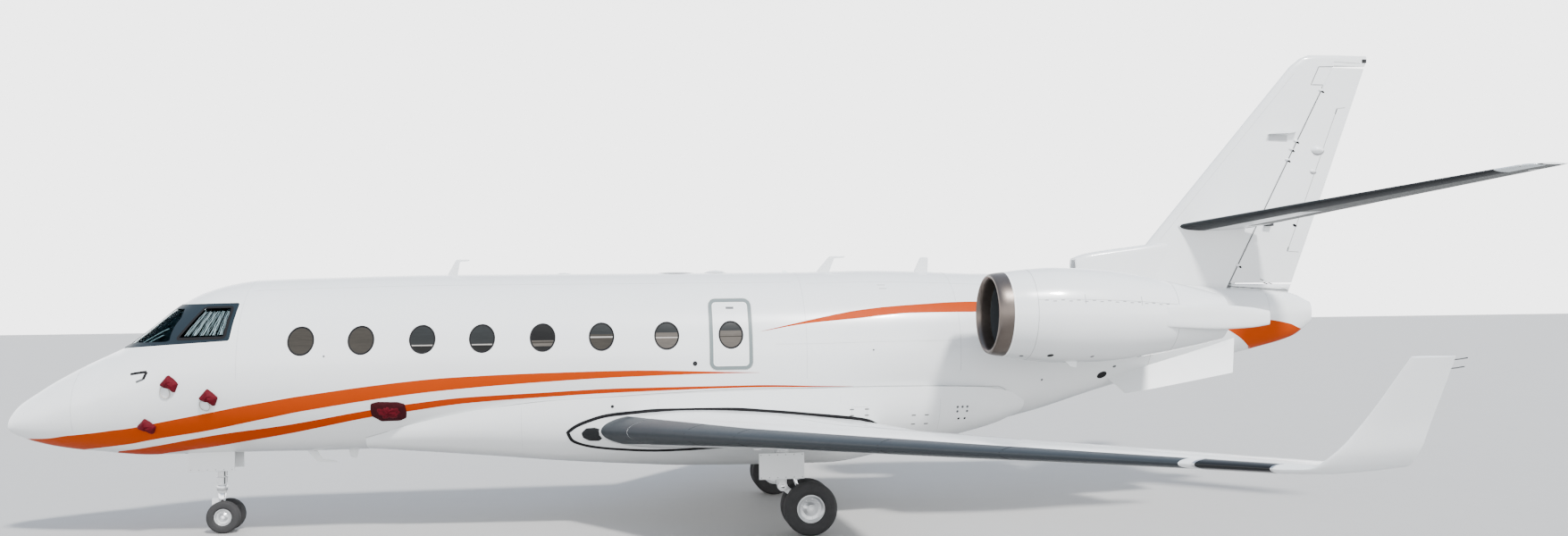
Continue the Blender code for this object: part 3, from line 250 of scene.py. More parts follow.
# Painted shade: dark grey for the shadow on the white undersides of the stabilizer and elevators.
UNDER_SHADE = material("stabilizer_underside_painted_shade", (0.10, 0.103, 0.10), 0.5, vary=0.06, scale=3, ior=1.3)
SATIN = material("satin_edge_metal", (0.62, 0.66, 0.68), 0.28, metal=0.9, vary=0.05, scale=8)
DARK_LINING = material("dark_cockpit_lining", (0.05, 0.05, 0.052), 0.75, vary=0.1, scale=8, grain=0.3)
GEAR_DARK = material("dark_enamel", (0.05, 0.052, 0.055), 0.4, vary=0.1, scale=20)


# Shapes

def smooth(table, warp=1.0):
    """Smooth curves through the columns of a table, which don't overshoot its rows."""
    knots = [row[0] ** warp for row in table]
    columns = list(zip(*table))[1:]
    slopes = []
    for column in columns:
        steps = [(b - a) / (q - p) for a, b, p, q in zip(column, column[1:], knots, knots[1:])]
        line = [steps[0]]
        for one, two in zip(steps, steps[1:]):
            line.append(0.0 if one * two <= 0 else 2 * one * two / (one + two))
        line.append(steps[-1])
        slopes.append(line)

    def value(x):
        x = min(max(x, table[0][0]), table[-1][0]) ** warp
        i = min(max(bisect_right(knots, x) - 1, 0), len(knots) - 2)
        step = knots[i + 1] - knots[i]
        t = (x - knots[i]) / step
        found = []
        for column, line in zip(columns, slopes):
            rise = (1 + 2 * t) * (1 - t) ** 2 * column[i] + t * t * (3 - 2 * t) * column[i + 1]
            found.append(rise + step * (t * (1 - t) ** 2 * line[i] - t * t * (1 - t) * line[i + 1]))
        return found
    return value


body_row = smooth(BODY, 0.5)


def spaced(start, end, step):
    """Even values from start to end, about a step apart."""
    count = max(1, round((end - start) / step))
    return [start + (end - start) * i / count for i in range(count + 1)]


def placed(name, data):
    """Object with the given data, linked into the scene."""
    made = bpy.data.objects.new(name, data)
    bpy.context.scene.collection.objects.link(made)
    return made


def build(name, points, faces, finish=None, sharp=35):
    """Mesh object from points and faces, with its faces turned outwards."""
    mesh = bpy.data.meshes.new(name)
    mesh.from_pydata([tuple(p) for p in points], [], faces)
    shape = bmesh.new()
    shape.from_mesh(mesh)
    bmesh.ops.recalc_face_normals(shape, faces=shape.faces)
    shape.to_mesh(mesh)
    shape.free()
    mesh.shade_smooth()
    mesh.set_sharp_from_angle(angle=math.radians(sharp))
    if finish:
        mesh.materials.append(finish)
    return placed(name, mesh)


def loft(name, rings, finish=None, closed=False, sharp=35):
    """Skin over rings of as many points each, with flat ends unless the rings close on themselves."""
    count = len(rings[0])
    rows = len(rings)
    faces = []
    for r in range(rows if closed else rows - 1):
        a, b = r * count, ((r + 1) % rows) * count
        for i in range(count):
            j = (i + 1) % count
            faces.append((a + i, a + j, b + j, b + i))
    if not closed:
        faces.append(tuple(range(count)))
        faces.append(tuple(range((rows - 1) * count, rows * count)))
    return build(name, [p for ring in rings for p in ring], faces, finish, sharp)


def combine(target, tool, operation):
    """Boolean the tool into the target and bake the result."""
    step = target.modifiers.new(operation, "BOOLEAN")
    step.operation = operation
    step.solver = "EXACT"
    step.object = tool
    bpy.context.view_layer.update()
    ready = target.evaluated_get(bpy.context.evaluated_depsgraph_get())
    baked = bpy.data.meshes.new_from_object(ready)
    target.modifiers.clear()
    target.data = baked
    bpy.data.objects.remove(tool)
    return target


def cut(target, *tools):
    for tool in tools:
        combine(target, tool, "DIFFERENCE")
    return target


def keep(target, tool):
    return combine(target, tool, "INTERSECT")


def merge(target, *others):
    """Put other objects' meshes into the target as loose shells, with their materials."""
    shape = bmesh.new()
    shape.from_mesh(target.data)
    for other in others:
        slots = []
        for finish in other.data.materials:
            if finish.name not in target.data.materials:
                target.data.materials.append(finish)
            slots.append(list(target.data.materials).index(finish))
        start = len(shape.faces)
        shape.from_mesh(other.data)
        shape.faces.ensure_lookup_table()
        for face in shape.faces[start:]:
            if slots:
                face.material_index = slots[min(face.material_index, len(slots) - 1)]
        bpy.data.objects.remove(other)
    shape.to_mesh(target.data)
    shape.free()
    return target


def source_of(target):
    """The smooth shape of an uncut object: a search tree, its triangles and the normals of its points."""
    mesh = target.data
    mesh.calc_loop_triangles()
    points = [v.co.copy() for v in mesh.vertices]
    normals = [v.normal.copy() for v in mesh.vertices]
    triangles = [tuple(t.vertices) for t in mesh.loop_triangles]
    if target.name.startswith("source"):
        bpy.data.objects.remove(target)
    return BVHTree.FromPolygons(points, triangles), points, normals, triangles


def smooth_like(target, source, sharp=35):
    """Give a cut object the normals of the smooth shape that it was cut from."""
    tree, points, normals, triangles = source
    mesh = target.data
    mesh.shade_smooth()
    mesh.set_sharp_from_angle(angle=math.radians(sharp))
    own = [n.vector.copy() for n in mesh.corner_normals]
    near = []
    for vertex in mesh.vertices:
        place, _, index, far = tree.find_nearest(vertex.co)
        if place is None or far > 0.003:
            near.append(None)
            continue
        a, b, c = triangles[index]
        one, two, low = points[b] - points[a], points[c] - points[a], place - points[a]
        d00, d01, d11 = one.dot(one), one.dot(two), two.dot(two)
        d20, d21 = low.dot(one), low.dot(two)
        under = d00 * d11 - d01 * d01
        if abs(under) < 1e-16:
            near.append(None)
            continue
        v = (d11 * d20 - d01 * d21) / under
        w = (d00 * d21 - d01 * d20) / under
        near.append((normals[a] * (1 - v - w) + normals[b] * v + normals[c] * w).normalized())
    for face in mesh.polygons:
        for loop in face.loop_indices:
            found = near[mesh.loops[loop].vertex_index]
            if found is not None and found.dot(face.normal) > 0.93:
                own[loop] = found
    mesh.normals_split_custom_set(own)
    return target


def piece(target, body, slot, *nodes):
    """Say which body a piece rides on, and hide the CAD nodes that it stands for. The slot is not used."""
    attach(target, body)
    if nodes:
        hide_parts(*nodes)
    return target


def group(name, parts, body, slot, *nodes):
    """One named piece of several parts."""
    made = merge(parts[0], *parts[1:])
    made.name = name
    return piece(made, body, slot, *nodes)


def prism(name, outline, low, high, finish=None):
    """Extrude a side view outline of (station, height) from one distance out to another."""
    return loft(name, [[at(s, out, z) for s, z in outline] for out in (low, high)], finish)


def plan_prism(name, outline, low, high):
    return loft(name, [[at(s, out, z) for s, out in outline] for z in (low, high)])


def block(name, low, high, finish=None):
    corners = [(low[0], low[1]), (high[0], low[1]), (high[0], high[1]), (low[0], high[1])]
    return loft(name, [[at(s, out, z) for s, out in corners] for z in (low[2], high[2])], finish, sharp=30)


def soft_block(name, low, high, finish, radius=0.012):
    """Box with rounded edges."""
    made = block(name, low, high, finish)
    shape = bmesh.new()
    shape.from_mesh(made.data)
    bmesh.ops.bevel(shape, geom=shape.edges[:], offset=radius, segments=3, profile=0.6, affect="EDGES")
    shape.to_mesh(made.data)
    shape.free()
    made.data.shade_smooth()
    made.data.set_sharp_from_angle(angle=math.radians(40))
    return made


def turns(count, shift=0.0):
    """Even angles round a circle."""
    return [2 * math.pi * (i + shift) / count for i in range(count)]


def circle(centre, one, two, radius, angles):
    return [centre + (one * math.cos(t) + two * math.sin(t)) * radius for t in angles]


def turned(name, start, end, profile, finish=None, segments=32, sharp=35):
    """Turned shape between two points: (from the end or not, distance, radius)."""
    axis = (end - start).normalized()
    across = axis.orthogonal().normalized()
    other = axis.cross(across)
    return loft(name, [circle((end if from_end else start) + axis * distance, across, other, radius,
                              turns(segments, 0.3)) for from_end, distance, radius in profile],
                finish, sharp=sharp)


def rod(name, start, end, radius, end_radius=None, finish=None, segments=32):
    """Round bar or cone with eased ends between two points."""
    second = radius if end_radius is None else end_radius
    ease = min(radius, second, (end - start).length / 2) * 0.12
    return turned(name, start, end, ((False, 0, radius - ease), (False, ease, radius), (True, -ease, second),
                                     (True, 0, second - ease)), finish, segments, 50)


def run(points, i):
    """Which way a row of points goes at one of them."""
    return points[min(i + 1, len(points) - 1)] - points[max(i - 1, 0)]


def tube(name, points, radius, finish, segments=10, squash=1.0):
    """Round or flattened bar along a row of points."""
    rings = []
    last = None
    for i, point in enumerate(points):
        along = run(points, i).normalized()
        last = (along.orthogonal() if last is None else last - along * last.dot(along)).normalized()
        rings.append(circle(point, last, along.cross(last) * squash, radius, turns(segments)))
    return loft(name, rings, finish, sharp=50)


def rounded(low_s, high_s, low_z, high_z, radius, square_foot=False):
    """Outline of a rectangle with round corners, as station and height."""
    outline = []
    for corner, (s, z) in enumerate(((high_s, high_z), (low_s, high_z), (low_s, low_z), (high_s, low_z))):
        if square_foot and corner > 1:
            outline.append((s, z))
            continue
        centre_s = s - radius if s == high_s else s + radius
        centre_z = z - radius if z == high_z else z + radius
        for i in range(11):
            turn = math.radians(90 * corner + 9 * i)
            outline.append((centre_s + radius * math.cos(turn), centre_z + radius * math.sin(turn)))
    return outline


def oval_outline(station, height, wide, tall):
    return [(station + wide / 2 * math.cos(t), height + tall / 2 * math.sin(t)) for t in turns(48)]


def soften(outline, radius, count=5):
    """Round the corners of an outline."""
    soft = []
    for i, corner in enumerate(outline):
        corner = Vector(corner)
        before = (Vector(outline[i - 1]) - corner)
        after = (Vector(outline[(i + 1) % len(outline)]) - corner)
        reach = min(radius, before.length * 0.45, after.length * 0.45)
        one = corner + before.normalized() * reach
        two = corner + after.normalized() * reach
        for k in range(count + 1):
            t = k / count
            soft.append(tuple(one * (1 - t) ** 2 + corner * 2 * t * (1 - t) + two * t * t))
    return soft


def shrink(outline, by):
    """Outline moved a distance towards its middle."""
    middle = [sum(point[k] for point in outline) / len(outline) for k in (0, 1)]
    moved = []
    for point in outline:
        dx, dy = point[0] - middle[0], point[1] - middle[1]
        reach = math.hypot(dx, dy)
        moved.append((point[0] - dx / reach * by, point[1] - dy / reach * by))
    return moved


def between(one, two, share):
    """Mix of two rows of numbers."""
    return [a + (b - a) * share for a, b in zip(one, two)]


def dense(path, step, closed=True, scale=1.0):
    """Points a step or less apart on a path. Scale turns its second column into metres."""
    path = list(path)
    made = []
    for one, two in zip(path, path[1:] + (path[:1] if closed else [])):
        count = max(1, math.ceil(math.hypot(two[0] - one[0], (two[1] - one[1]) * scale) / step))
        made += [between(one, two, k / count) for k in range(count)]
    return made if closed else made + [path[-1]]


# Camera, floor and light

def camera_and_light():
    yaw, pitch, roll = (math.radians(v) for v in (8.280, 1.705, -0.654))
    ahead = Vector((math.sin(yaw) * math.cos(pitch), math.cos(yaw) * math.cos(pitch), math.sin(pitch)))
    right = Vector((math.cos(yaw), -math.sin(yaw), 0))
    up = right.cross(ahead)
    rolled = right * math.cos(roll) + up * math.sin(roll)
    upward = up * math.cos(roll) - right * math.sin(roll)
    lens = bpy.data.cameras.new("photograph_camera")
    lens.sensor_width = 36
    lens.lens = 1350 / 1755 * 36
    lens.clip_end = 400
    camera = placed("photograph_camera", lens)
    turn = Matrix((rolled, upward, -ahead)).transposed().to_4x4()
    camera.matrix_world = Matrix.Translation((-2.021, -16.503, 2.848)) @ turn
    bpy.context.scene.camera = camera

    far = 150
    build("floor", [(-far, -far, 0), (far, -far, 0), (far, far, 0), (-far, far, 0)], [(0, 1, 2, 3)],
                   material("pale_floor", (0.34, 0.338, 0.333), 0.7, vary=0.02, scale=0.6))

    world = bpy.data.worlds.new("studio")
    world.use_nodes = True
    tree = world.node_tree
    background = fill(tree.nodes["Background"], Strength=4.0)
    place, split, ramp, half = [tree.nodes.new("ShaderNode" + kind)
                                for kind in ("TexCoord", "SeparateXYZ", "ValToRGB", "MapRange")]
    fill(half, From_Min=-1.0)
    colours = ramp.color_ramp.elements
    colours[0].position, colours[0].color = 0.62, (1.0, 1.0, 1.0, 1)
    colours[1].position, colours[1].color = 0.74, (0.26, 0.29, 0.34, 1)
    colours.new(1.0).color = (0.15, 0.20, 0.28, 1)
    wire(tree, (place, "Generated", split, "Vector"), (split, "Z", half, "Value"), (half, "Result", ramp, "Fac"),
         (ramp, "Color", background, "Color"))
    bpy.context.scene.world = world

    sun = bpy.data.lights.new("sun", "SUN")
    sun.energy = 7.6
    sun.angle = math.radians(6)
    sun.color = (1.0, 0.985, 0.96)
    placed("sun", sun).rotation_euler = Vector((-0.45, 1.0, -1.3)).to_track_quat("-Z", "Y").to_euler()


# Fuselage

def body_ring(station, inset):
    """Section of the body at a station, a distance under its skin."""
    wide, middle, top, bottom = body_row(station)
    ring = []
    for turn in turns(AROUND):
        reach = top - inset - middle if math.cos(turn) > 0 else middle - bottom - inset
        ring.append(at(station, (wide - inset) * math.sin(turn), middle + reach * math.cos(turn)))
    return ring


def body_solid(name, start, end, inset=0.0, finish=None, step=0.07):
    return loft(name, [body_ring(s, inset) for s in spaced(start, end, step)], finish)


def body_shell(name, start, end, outer, inner, finish=None, step=0.07):
    """Hollow length of the body between two distances under its skin."""
    stations = spaced(start, end, step)
    rings = [body_ring(s, outer) for s in stations] + [body_ring(s, inner) for s in reversed(stations)]
    return loft(name, rings, finish, closed=True)


def skin(station, angle, side=-1, proud=0.0):
    """Point on the body at a station and angle."""
    wide, middle, top, bottom = body_row(station)
    turn = math.radians(angle)
    reach = middle - bottom if angle < 90 else top - middle
    return at(station, side * (wide + proud) * math.sin(turn), middle - (reach + proud) * math.cos(turn))


def window_cutters(side, skip):
    """Tools for one side's windows, without the one at the door or in the exit."""
    low, high = sorted((side * 0.7, side * 1.3))
    return [prism("window", oval_outline(s, WINDOW_HEIGHT, WINDOW_WIDE, WINDOW_TALL), low, high)
            for number, s in enumerate(WINDOW_STATIONS) if number != skip]


def fuselage():
    stations = [RADOME_END * (i / 26) ** 2 for i in range(27)]
    stations[-1] -= PLAY
    radome = loft("radome_skin", [body_ring(s, 0) for s in stations], COMPOSITE)
    piece(radome, "root", "composite_paint", "radome")
    nose = body_solid("nose_skin", RADOME_END, NOSE_END - PLAY, 0, WHITE)
    piece(nose, "root", "white_paint", "nose_section")

    source = source_of(body_solid("source", NOSE_END - 0.1, COCKPIT_END + 0.1, step=0.05))
    cockpit = body_shell("cockpit_skin", NOSE_END, COCKPIT_END - PLAY, 0, SKIN, WHITE, step=0.05)
    cut(cockpit, prism("glazing", soften(GLAZING, 0.05), -1.5, 1.5),
        block("bay", (2.15, -0.19, 0.9), (2.78, 0.19, 1.34)))
    line_cabin(smooth_like(cockpit, source), DARK_LINING)
    piece(cockpit, "root", "white_paint", "cockpit_section")
    nose_source = source_of(body_solid("source", 0.3, 4.4, step=0.05))

    frame_band = body_shell("windshield_surround", 1.30, 3.02, 0.002, 0.030, SLATE, step=0.05)
    keep(frame_band, prism("band", soften(shrink(GLAZING, 0.002), 0.05), -1.5, 1.5))
    for side in (-1, 1):
        cut(frame_band, prism("pane", soften(SIDE_PANE, 0.04), *sorted((side * 0.5, side * 1.5))))
        ring = [[at(s, side * out, z) for out, z in soften(FRONT_PANE, 0.04)] for s in (1.2, 2.25)]
        cut(frame_band, loft("pane", ring))
    piece(smooth_like(frame_band, source), "root", "dark_frame", "windshield_frame")
    glass = body_shell("windshield_panes", 1.32, 3.0, 0.012, 0.022, SHIELD, step=0.05)
    keep(glass, prism("band", soften(shrink(GLAZING, 0.012), 0.05), -1.5, 1.5))
    inner = source_of(body_solid("source", 1.2, 3.1, inset=0.012, step=0.05))
    piece(smooth_like(glass, inner), "root", "tinted_glass", "cockpit_glass")

    source = source_of(body_solid("source", COCKPIT_END - 0.1, CABIN_END + 0.1))
    cabin = body_shell("cabin_skin", COCKPIT_END, CABIN_END - PLAY, 0, SKIN, WHITE)
    cut(cabin, door_prism(0.0), prism("exit", rounded(*EXIT_AT, 0.10), -1.4, -0.7))
    for side, skip in ((-1, 7), (1, 0)):
        cut(cabin, *window_cutters(side, skip))
    line_cabin(smooth_like(cabin, source), LINING)
    piece(cabin, "root", "white_paint", "cabin_section")

    hatch = body_shell("overwing_hatch", 8.5, 9.6, 0.0, SKIN, WHITE)
    s0, s1, z0, z1 = EXIT_AT
    keep(hatch, prism("hatch", rounded(s0 + 0.0012, s1 - 0.0012, z0 + 0.0012, z1 - 0.0012, 0.0988), -1.4, -0.7))
    cut(hatch, prism("window", oval_outline(9.04, WINDOW_HEIGHT, WINDOW_WIDE, WINDOW_TALL), -1.4, -0.7))
    piece(smooth_like(hatch, source), "root", "white_paint", "overwing_exit")

    aft = body_solid("aft_skin", CABIN_END, AFT_END - PLAY, 0, WHITE)
    piece(aft, "root", "white_paint", "aft_fuselage")
    tail = body_solid("tail_cone_skin", AFT_END, TAIL_END, 0, WHITE, step=0.05)
    piece(tail, "root", "composite_paint", "tail_cone")
    return nose_source, source


def skin_out(station, height):
    """How far out the body's side is at a station and height."""
    wide, middle, top, bottom = body_row(station)
    reach = top - middle if height > middle else middle - bottom
    return wide * math.sqrt(max(0.0, 1 - ((height - middle) / reach) ** 2))


def door_prism(inset):
    """Tool that cuts the doorway, or the door with a gap round it."""
    s0, s1, z0, z1 = DOOR_AT
    return prism("door", rounded(s0 + inset, s1 - inset, z0 + inset, z1 - inset, 0.12 - inset, square_foot=True),
                 0.3, 1.4)


def entry_door(source):
    door = body_shell("airstair_door", 3.02, 4.00, 0.0, SKIN, WHITE)
    s0, s1, sill, _ = DOOR_AT
    keep(door, door_prism(DOOR_GAP))
    smooth_like(door, source)
    for height in (1.55, 1.85, 2.15, 2.45):
        reach = skin_out((s0 + s1) / 2, height)
        top = height + 0.03
        merge(door, soft_block("step", (s0 + 0.12, reach - 0.27, height), (s1 - 0.12, reach - 0.04, top), ALLOY,
                               0.006))
        merge(door, soft_block("tread", (s0 + 0.15, reach - 0.255, top), (s1 - 0.15, reach - 0.09, top + 0.003),
                               DARK, 0.001))
    ends = [at(s, skin_out(s, sill), sill) for s in (s0 + 0.16, s1 - 0.16)]
    play = Vector((0.0006, 0, 0))
    merge(door, rod("hinge", ends[0] + play, ends[1] - play, 0.012, finish=ALLOY))
    piece(door, "door", "white_paint", "entry_door")


def bulge(value, power):
    """A power of a value that keeps its sign."""
    return math.copysign(abs(value) ** power, value)


def fairing_ring(row, grow):
    station, wide, top, bottom = row
    under = [math.pi * i / 48 for i in range(49)]
    ring = [at(station, (wide + grow) * bulge(math.cos(t), 0.75), top - (top - bottom + grow) * math.sin(t) ** 0.75)
            for t in under]
    return ring + [at(station, -wide * 0.4, top), at(station, wide * 0.4, top)]


def fairing_solid(name, grow, finish=None):
    row = smooth(FAIRING)
    return loft(name, [fairing_ring([s, *row(s)], grow) for s in spaced(4.45, 13.10, 0.09)], finish)


def belly_fairing():
    fairing = fairing_solid("belly_fairing_skin", 0.0, COMPOSITE)
    source = source_of(fairing)
    cut(fairing, body_solid("body", 3.02, 15.0, PLAY))
    piece(smooth_like(fairing, source), "root", "composite_paint", "belly_fairing")
    return source


# Wings and tail

def half_thickness(chord, thick, share):
    """Half the thickness of a wing section at a share of its chord."""
    return 5 * thick * chord * (0.2969 * math.sqrt(share) - 0.126 * share - 0.3516 * share ** 2
                                + 0.2843 * share ** 3 - 0.1015 * share ** 4)


def tilted_up(side, tilt):
    turn = math.radians(tilt)
    return Vector((0, -side * math.sin(turn), math.cos(turn)))


def foil_ring(row, side, grow=0.0, count=26):
    """Wing section: over the top to the blunt trailing edge, and back below."""
    station, out, height, chord, thick, tilt = row
    up = tilted_up(side, tilt)
    front = at(station - grow, side * out, height)
    chord = chord + 2 * grow
    ring = []
    for face in (1, -1):
        for i in range(count):
            along = (i / count if face > 0 else 1 - i / count) ** 1.6
            half = half_thickness(chord, thick, along) + grow + 0.003 * along if along else 0.0
            ring.append(front + Vector((along * chord, 0, 0)) + face * half * up)
    ring.insert(count, front + Vector((chord, 0, 0)) + 0.004 * up)
    return ring


def foil_at(rows, out):
    """Row of a wing's table at a distance out."""
    for one, two in zip(rows, rows[1:]):
        if one[1] <= out <= two[1]:
            return between(one, two, (out - one[1]) / (two[1] - one[1]))
    return list(rows[-1])


def foil(name, rows, side, finish=None, grow=0.0, split=4, curved=False):
    """Loft of wing sections, with added sections between the rows, smooth along the span where curved."""
    curve = smooth([(i, *row) for i, row in enumerate(rows)]) if curved else None
    rings = []
    for i in range((len(rows) - 1) * split + 1):
        step, share = divmod(i / split, 1)
        last = min(int(step) + 1, len(rows) - 1)
        row = curve(i / split) if curved else between(rows[int(step)], rows[last], share)
        rings.append(foil_ring(row, side, grow))
    return loft(name, rings, finish)


def trailing_prism(rows, span, share, side, spare):
    """Tool over a wing's part aft of a share of its chord."""
    outline = []
    for out, sign in zip(span, (-1, 1)):
        row = foil_at(rows, out)
        outline.append((row[0] + row[3] * share, side * (out + sign * spare)))
    for out, sign in zip(reversed(span), (1, -1)):
        row = foil_at(rows, out)
        outline.append((row[0] + row[3] + 0.3, side * (row[1] + sign * spare)))
    return plan_prism("trailing", outline, 0.5, 5.5)


def span_hinge(rows, span, share, side):
    """Both ends of a hinge line, with the wing's half thickness there."""
    found = [foil_at(rows, out) for out in span]
    return [(at(row[0] + row[3] * share, side * out, row[2]), half_thickness(row[3], row[4], share))
            for row, out in zip(found, span)]


def cove(inner, outer, first, second, before):
    """Tool for the round hollow that a surface's nose turns in."""
    span = outer - inner
    axis = span.normalized()
    taper = (second - first) / span.length
    return rod("cove", inner - axis * before, outer + axis * 0.024, first - taper * before + 0.006,
               second + taper * 0.024 + 0.006, segments=48)


def hinge_nose(inner, outer, first, second, finish):
    """Round nose and end pins on a surface's hinge line."""
    pins = [min(0.010, thick * 0.5) for thick in (first, second)]
    profile = [(False, -0.0237, pins[0]), (False, 0.004, pins[0]), (False, 0.004, first * 0.97),
               (True, -0.004, second * 0.97), (True, -0.004, pins[1]), (True, 0.0237, pins[1])]
    return turned("nose", inner, outer, profile, finish=finish)


def paint_shade_under(target, finish, inner=0.0):
    """Give the faces that look down a finish of their own, outside a distance from the centre line: a grey that is
    painted shade on the white surface.
    """
    target.data.materials.append(finish)
    for face in target.data.polygons:
        if face.normal.z < -0.3 and abs(face.center.y) > inner:
            face.material_index = len(target.data.materials) - 1


def hinged(name, carrier, rows, span, share, side, source, under=None):
    """Cut a trailing surface out of its carrier, and give it a round nose. Its body has its name."""
    (inner, thick_in), (outer, thick_out) = span_hinge(rows, span, share, side)
    surface = foil(name + "_skin", rows, side, WHITE)
    keep(surface, trailing_prism(rows, span, share, side, 0.0))
    # Painted shade on the surface's underside.
    if under:
        paint_shade_under(surface, under)
    smooth_like(surface, source)
    merge(surface, hinge_nose(inner, outer, thick_in, thick_out, WHITE))
    piece(surface, name, "white_paint", name)
    cut(carrier, trailing_prism(rows, span, share, side, 0.024),
        cove(inner, outer, thick_in, thick_out, 0.024))


def wing(name, side):
    whole = foil(name + "_wing_skin", WING, side, WHITE)
    source = source_of(whole)
    band = []
    for out in (1.55, 3.20, 5.79, 7.60):
        row = foil_at(WING, out)
        band.append((row[0] + SLAT_CHORD * row[3], side * out))
    front = [(s - 0.9, out) for s, out in reversed(band)]
    leading = foil(name + "_leading_edge_skin", WING, side, EDGE_METAL)
    keep(leading, plan_prism("slat", band + front, 0.5, 2.5))
    piece(smooth_like(leading, source), "root", "grey_metal", name + "_leading_edge")
    wider = [(s + 0.0006, out) for s, out in band] + front
    for i, out in ((3, 7.6006), (4, 7.6006), (0, 1.5494), (7, 1.5494)):
        wider[i] = (wider[i][0], side * out)
    cut(whole, plan_prism("slat", wider, 0.5, 2.5))

    flap = foil(name + "_flap_skin", WING, side, WHITE)
    keep(flap, trailing_prism(WING, FLAP_AT, WING_HINGE, side, 0.0))
    gap = trailing_prism(WING, FLAP_AT, WING_HINGE, side, 0.0006)
    for corner in gap.data.vertices:
        corner.co.x -= 0.0006
    cut(whole, gap)
    hinged(name + "_aileron", whole, WING, AILERON_AT, WING_HINGE, side, source)
    cut(whole, fairing_solid("fairing", PLAY))
    cut(flap, fairing_solid("fairing", PLAY))
    centre = side * MAIN_OUT
    cut(whole, block("socket", (MAIN_STRUT - 0.11, centre - 0.11, 0.5), (MAIN_STRUT + 0.11, centre + 0.11, 1.19)))
    smooth_like(whole, source)
    pad = at(9.20, side * 2.45, 1.145)
    merge(whole, rod("jack_pad", pad, pad + Vector((0, 0, 0.105)), 0.045, finish=GEAR))
    piece(whole, "root", "white_paint", name + "_wing")
    piece(smooth_like(flap, source), "root", "white_paint", name + "_flap")
    winglet = foil(name + "_winglet_skin", WINGLET, side, WHITE, split=8, curved=True)
    piece(winglet, "root", "white_paint", name + "_winglet")


def fin_solid(name, finish=None):
    rows = [(s, 0.0, z, chord, thick, 90) for s, z, chord, thick in FIN]
    return foil(name, rows, 1, finish, split=5)


def fin_half_thickness(station, height):
    front, _, chord, thick = foil_at(FIN, height)
    return half_thickness(chord, thick, (station - front) / chord)


def aft_of_rudder_hinge(low, high):
    (low_s, low_z), (high_s, high_z) = RUDDER_HINGE
    slope = (high_s - low_s) / (high_z - low_z)
    front = [(low_s + slope * (z - low_z), z) for z in (low, high)]
    return prism("rudder_shape", (*front, (high_s + 1.2, high), (low_s + 1.6, low)), -0.6, 0.6)


def fin_and_rudder():
    fin = fin_solid("fin_skin", WHITE)
    fin_source = source_of(fin)
    rudder = fin_solid("rudder_skin", WHITE)
    (low_s, low_z), (high_s, high_z) = RUDDER_HINGE
    inner, outer = at(low_s, 0, low_z), at(high_s, 0, high_z)
    first, second = fin_half_thickness(low_s, low_z), fin_half_thickness(high_s, high_z)
    keep(rudder, aft_of_rudder_hinge(low_z, high_z))
    smooth_like(rudder, fin_source)
    pins = min(0.010, second * 0.5)
    profile = [(False, 0.004, first * 0.97), (True, -0.004, second * 0.97), (True, -0.004, pins),
               (True, 0.0237, pins)]
    merge(rudder, turned("nose", inner, outer, profile, finish=WHITE))
    piece(rudder, "rudder", "white_paint", "rudder")
    cut(fin, aft_of_rudder_hinge(2.0, high_z + 0.034), cove(inner, outer, first, second, 0.15))
    for side in (-1, 1):
        cut(fin, foil("slot", STABILIZER, side, grow=0.002))
    cut(fin, body_solid("body", 13.3, TAIL_END, PLAY))
    smooth_like(fin, fin_source)

    row = smooth(SCOOP)
    rings = []
    for s in spaced(14.08, 15.70, 0.09):
        wide, low, high = row(s)
        crown = [math.pi * i / 24 for i in range(25)]
        rings.append([at(s, wide * bulge(math.cos(t), 0.6), high - 0.12 + 0.12 * math.sin(t) ** 0.6) for t in crown]
                     + [at(s, -wide, low), at(s, wide, low)])
    scoop = loft("scoop", rings, WHITE, sharp=50)
    source = source_of(scoop)
    mouth = [(-0.09, 3.29), (0.09, 3.29), (0.09, 3.36), (0.06, 3.43), (-0.06, 3.43), (-0.09, 3.36)]
    cut(scoop, loft("mouth", [[at(s, out, z) for out, z in mouth] for s in (14.0, 14.45)]),
        body_solid("body", 13.3, TAIL_END, PLAY))
    smooth_like(scoop, source)
    # The dark plate at the back of the scoop's mouth is painted shade for the duct.
    merge(fin, scoop, block("dark", (14.43, -0.085, 3.295), (14.448, 0.085, 3.425), OPENING_SHADE))
    piece(fin, "root", "white_paint", "fin")
    return fin_source


def stabilizer():
    rings = [between(one, two, k / 6) for one, two in zip(STABILIZER, STABILIZER[1:]) for k in range(6)]
    rings.append(STABILIZER[-1])
    port = [foil_ring(row, -1) for row in reversed(rings)]
    shell = loft("stabilizer_skin", port[:-1] + [foil_ring(row, 1) for row in rings], WHITE)
    source = source_of(shell)
    for name, side in SIDES:
        hinged(name + "_elevator", shell, STABILIZER, ELEVATOR_AT, TAIL_HINGE, side, source, UNDER_SHADE)
    cut(shell, block("notch", (16.68, -0.20, 3.6), (17.40, 0.20, 4.3)))
    # Painted shade on the stabilizer's underside outboard of the fin.
    paint_shade_under(shell, UNDER_SHADE, 1.15)
    piece(smooth_like(shell, source), "root", "white_paint", "stabilizer")


def ventral_fins():
    tilt = Matrix.Identity(4)
    tilt[2][0] = VENTRAL_RISE
    tilt[2][3] = -VENTRAL_RISE * at(VENTRAL_FOOT, 0, 0).x
    for name, side in SIDES:
        made = foil(name + "_ventral_skin", VENTRAL_FIN, side, WHITE)
        made.data.transform(tilt)
        source = source_of(made)
        cut(made, body_solid("body", 13.3, TAIL_END, PLAY))
        piece(smooth_like(made, source), "root", "white_paint", name + "_ventral_fin")


# Engines

def engine_frame(side):
    """Where an engine's own axes lie in the scene."""
    out, height, pivot, nose_up = ENGINE
    tilt = Matrix.Rotation(math.radians(nose_up), 4, "Y")
    return Matrix.Translation(at(pivot, side * out, height)) @ tilt @ Matrix.Translation((-pivot, 0, 0))


